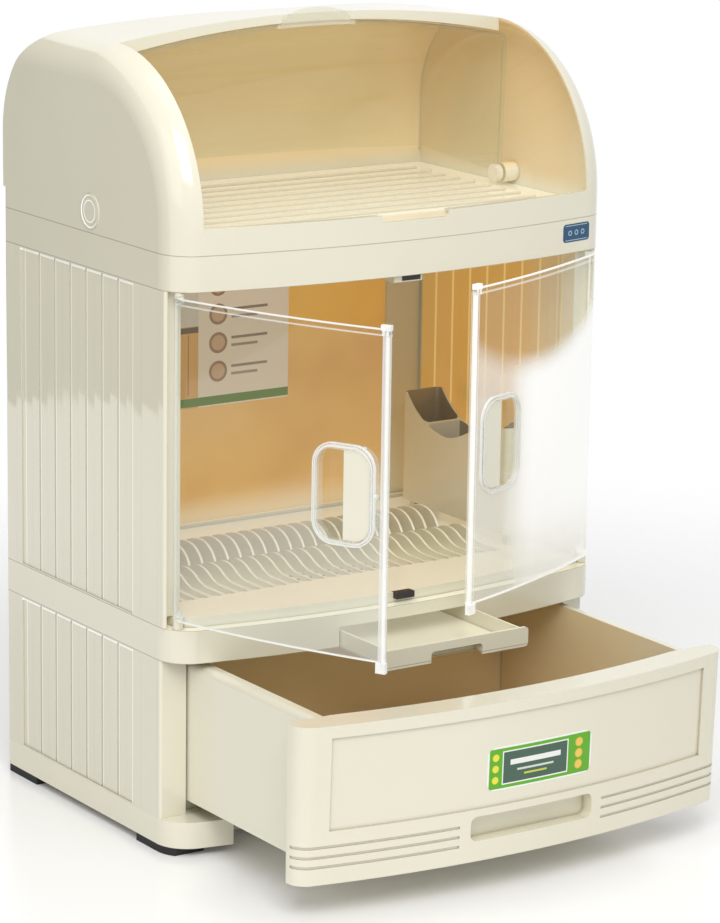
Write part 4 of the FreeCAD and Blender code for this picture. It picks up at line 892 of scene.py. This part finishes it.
def make_floor():
    mesh = bpy.data.meshes.new("floor")
    work = bmesh.new()
    bmesh.ops.create_grid(work, x_segments=1, y_segments=1, size=FLOOR_SIZE / 2)
    work.to_mesh(mesh)
    work.free()
    floor = bpy.data.objects.new("floor", mesh)
    bpy.context.scene.collection.objects.link(floor)
    mesh.materials.append(floor_surface())


make_floor()

# %% Backdrop colour of the world
WORLD_LIGHT = 0.54


def make_world():
    world = bpy.data.worlds.new("studio")
    world.use_nodes = True
    bpy.context.scene.world = world
    tree = world.node_tree
    output = tree.nodes["World Output"]
    light = tree.nodes["Background"]
    light.inputs["Color"].default_value = (1, 1, 1, 1)
    light.inputs["Strength"].default_value = WORLD_LIGHT
    white = tree.nodes.new("ShaderNodeBackground")
    white.inputs["Color"].default_value = (1, 1, 1, 1)
    white.inputs["Strength"].default_value = 1.0
    path = tree.nodes.new("ShaderNodeLightPath")
    seen = None
    for name in ("Is Camera Ray", "Is Glossy Ray", "Is Transmission Ray"):
        if seen is None:
            seen = path.outputs[name]
            continue
        either = tree.nodes.new("ShaderNodeMath")
        either.operation = "MAXIMUM"
        tree.links.new(seen, either.inputs[0])
        tree.links.new(path.outputs[name], either.inputs[1])
        seen = either.outputs[0]
    mix = tree.nodes.new("ShaderNodeMixShader")
    tree.links.new(seen, mix.inputs[0])
    tree.links.new(light.outputs[0], mix.inputs[1])
    tree.links.new(white.outputs[0], mix.inputs[2])
    tree.links.new(mix.outputs[0], output.inputs["Surface"])


make_world()

# %% [markdown]
# A glossy side shows the room that it faces. A dark card stands behind the box on the left, past the
# end of the white floor, and only reflections see it. So the upper part of the side reflects the card,
# the lower part reflects the floor, and the wavy plastic bends the line between them.

# %% Dark card for reflections
CARD_PLACE = (-1.30, 1.45, 0.98)
CARD_SIZE = (3.6, 1.9)
CARD_COLOUR = paint(60, 58, 54)


def dark_card():
    work = bmesh.new()
    bmesh.ops.create_grid(work, x_segments=1, y_segments=1, size=0.5)
    bmesh.ops.scale(work, vec=(*CARD_SIZE, 1), verts=work.verts)
    place = Vector(CARD_PLACE)
    towards = Vector((0, 0, CARD_PLACE[2])) - place
    turn = towards.to_track_quat("Z", "Y").to_matrix().to_4x4()
    bmesh.ops.transform(work, matrix=Matrix.Translation(place) @ turn, verts=work.verts)
    mesh = bpy.data.meshes.new("dark_card")
    work.to_mesh(mesh)
    work.free()
    card = bpy.data.objects.new("dark_card", mesh)
    bpy.context.scene.collection.objects.link(card)
    surface = Surface("dark_card", Base_Color=CARD_COLOUR, Roughness=1.0)
    surface.feed("Specular IOR Level", 0.0)
    mesh.materials.append(surface.material)
    for kind in ("camera", "diffuse", "transmission", "shadow", "volume_scatter"):
        setattr(card, "visible_" + kind, False)


dark_card()

# %% Lamps


def softbox(name, place, aim, width, height, power):
    data = bpy.data.lights.new(name, "AREA")
    data.shape = "RECTANGLE"
    data.size = width
    data.size_y = height
    data.energy = power
    lamp = bpy.data.objects.new(name, data)
    lamp.location = place
    lamp.rotation_euler = (Vector(aim) - Vector(place)).to_track_quat("-Z", "Y").to_euler()
    bpy.context.scene.collection.objects.link(lamp)


softbox("side_lamp", place=(-2.2, -0.9, 1.6), aim=(0, 0, 0.4), width=1.4, height=1.8, power=6)
softbox("key_lamp", place=(-1.15, -1.9, 2.3), aim=(0, 0, 0.3), width=1.5, height=1.6, power=40)
softbox("top_lamp", place=(0, -0.3, 2.4), aim=(0, 0, 0.5), width=1.6, height=1.6, power=9)

bpy.context.scene.view_settings.view_transform = "Standard"
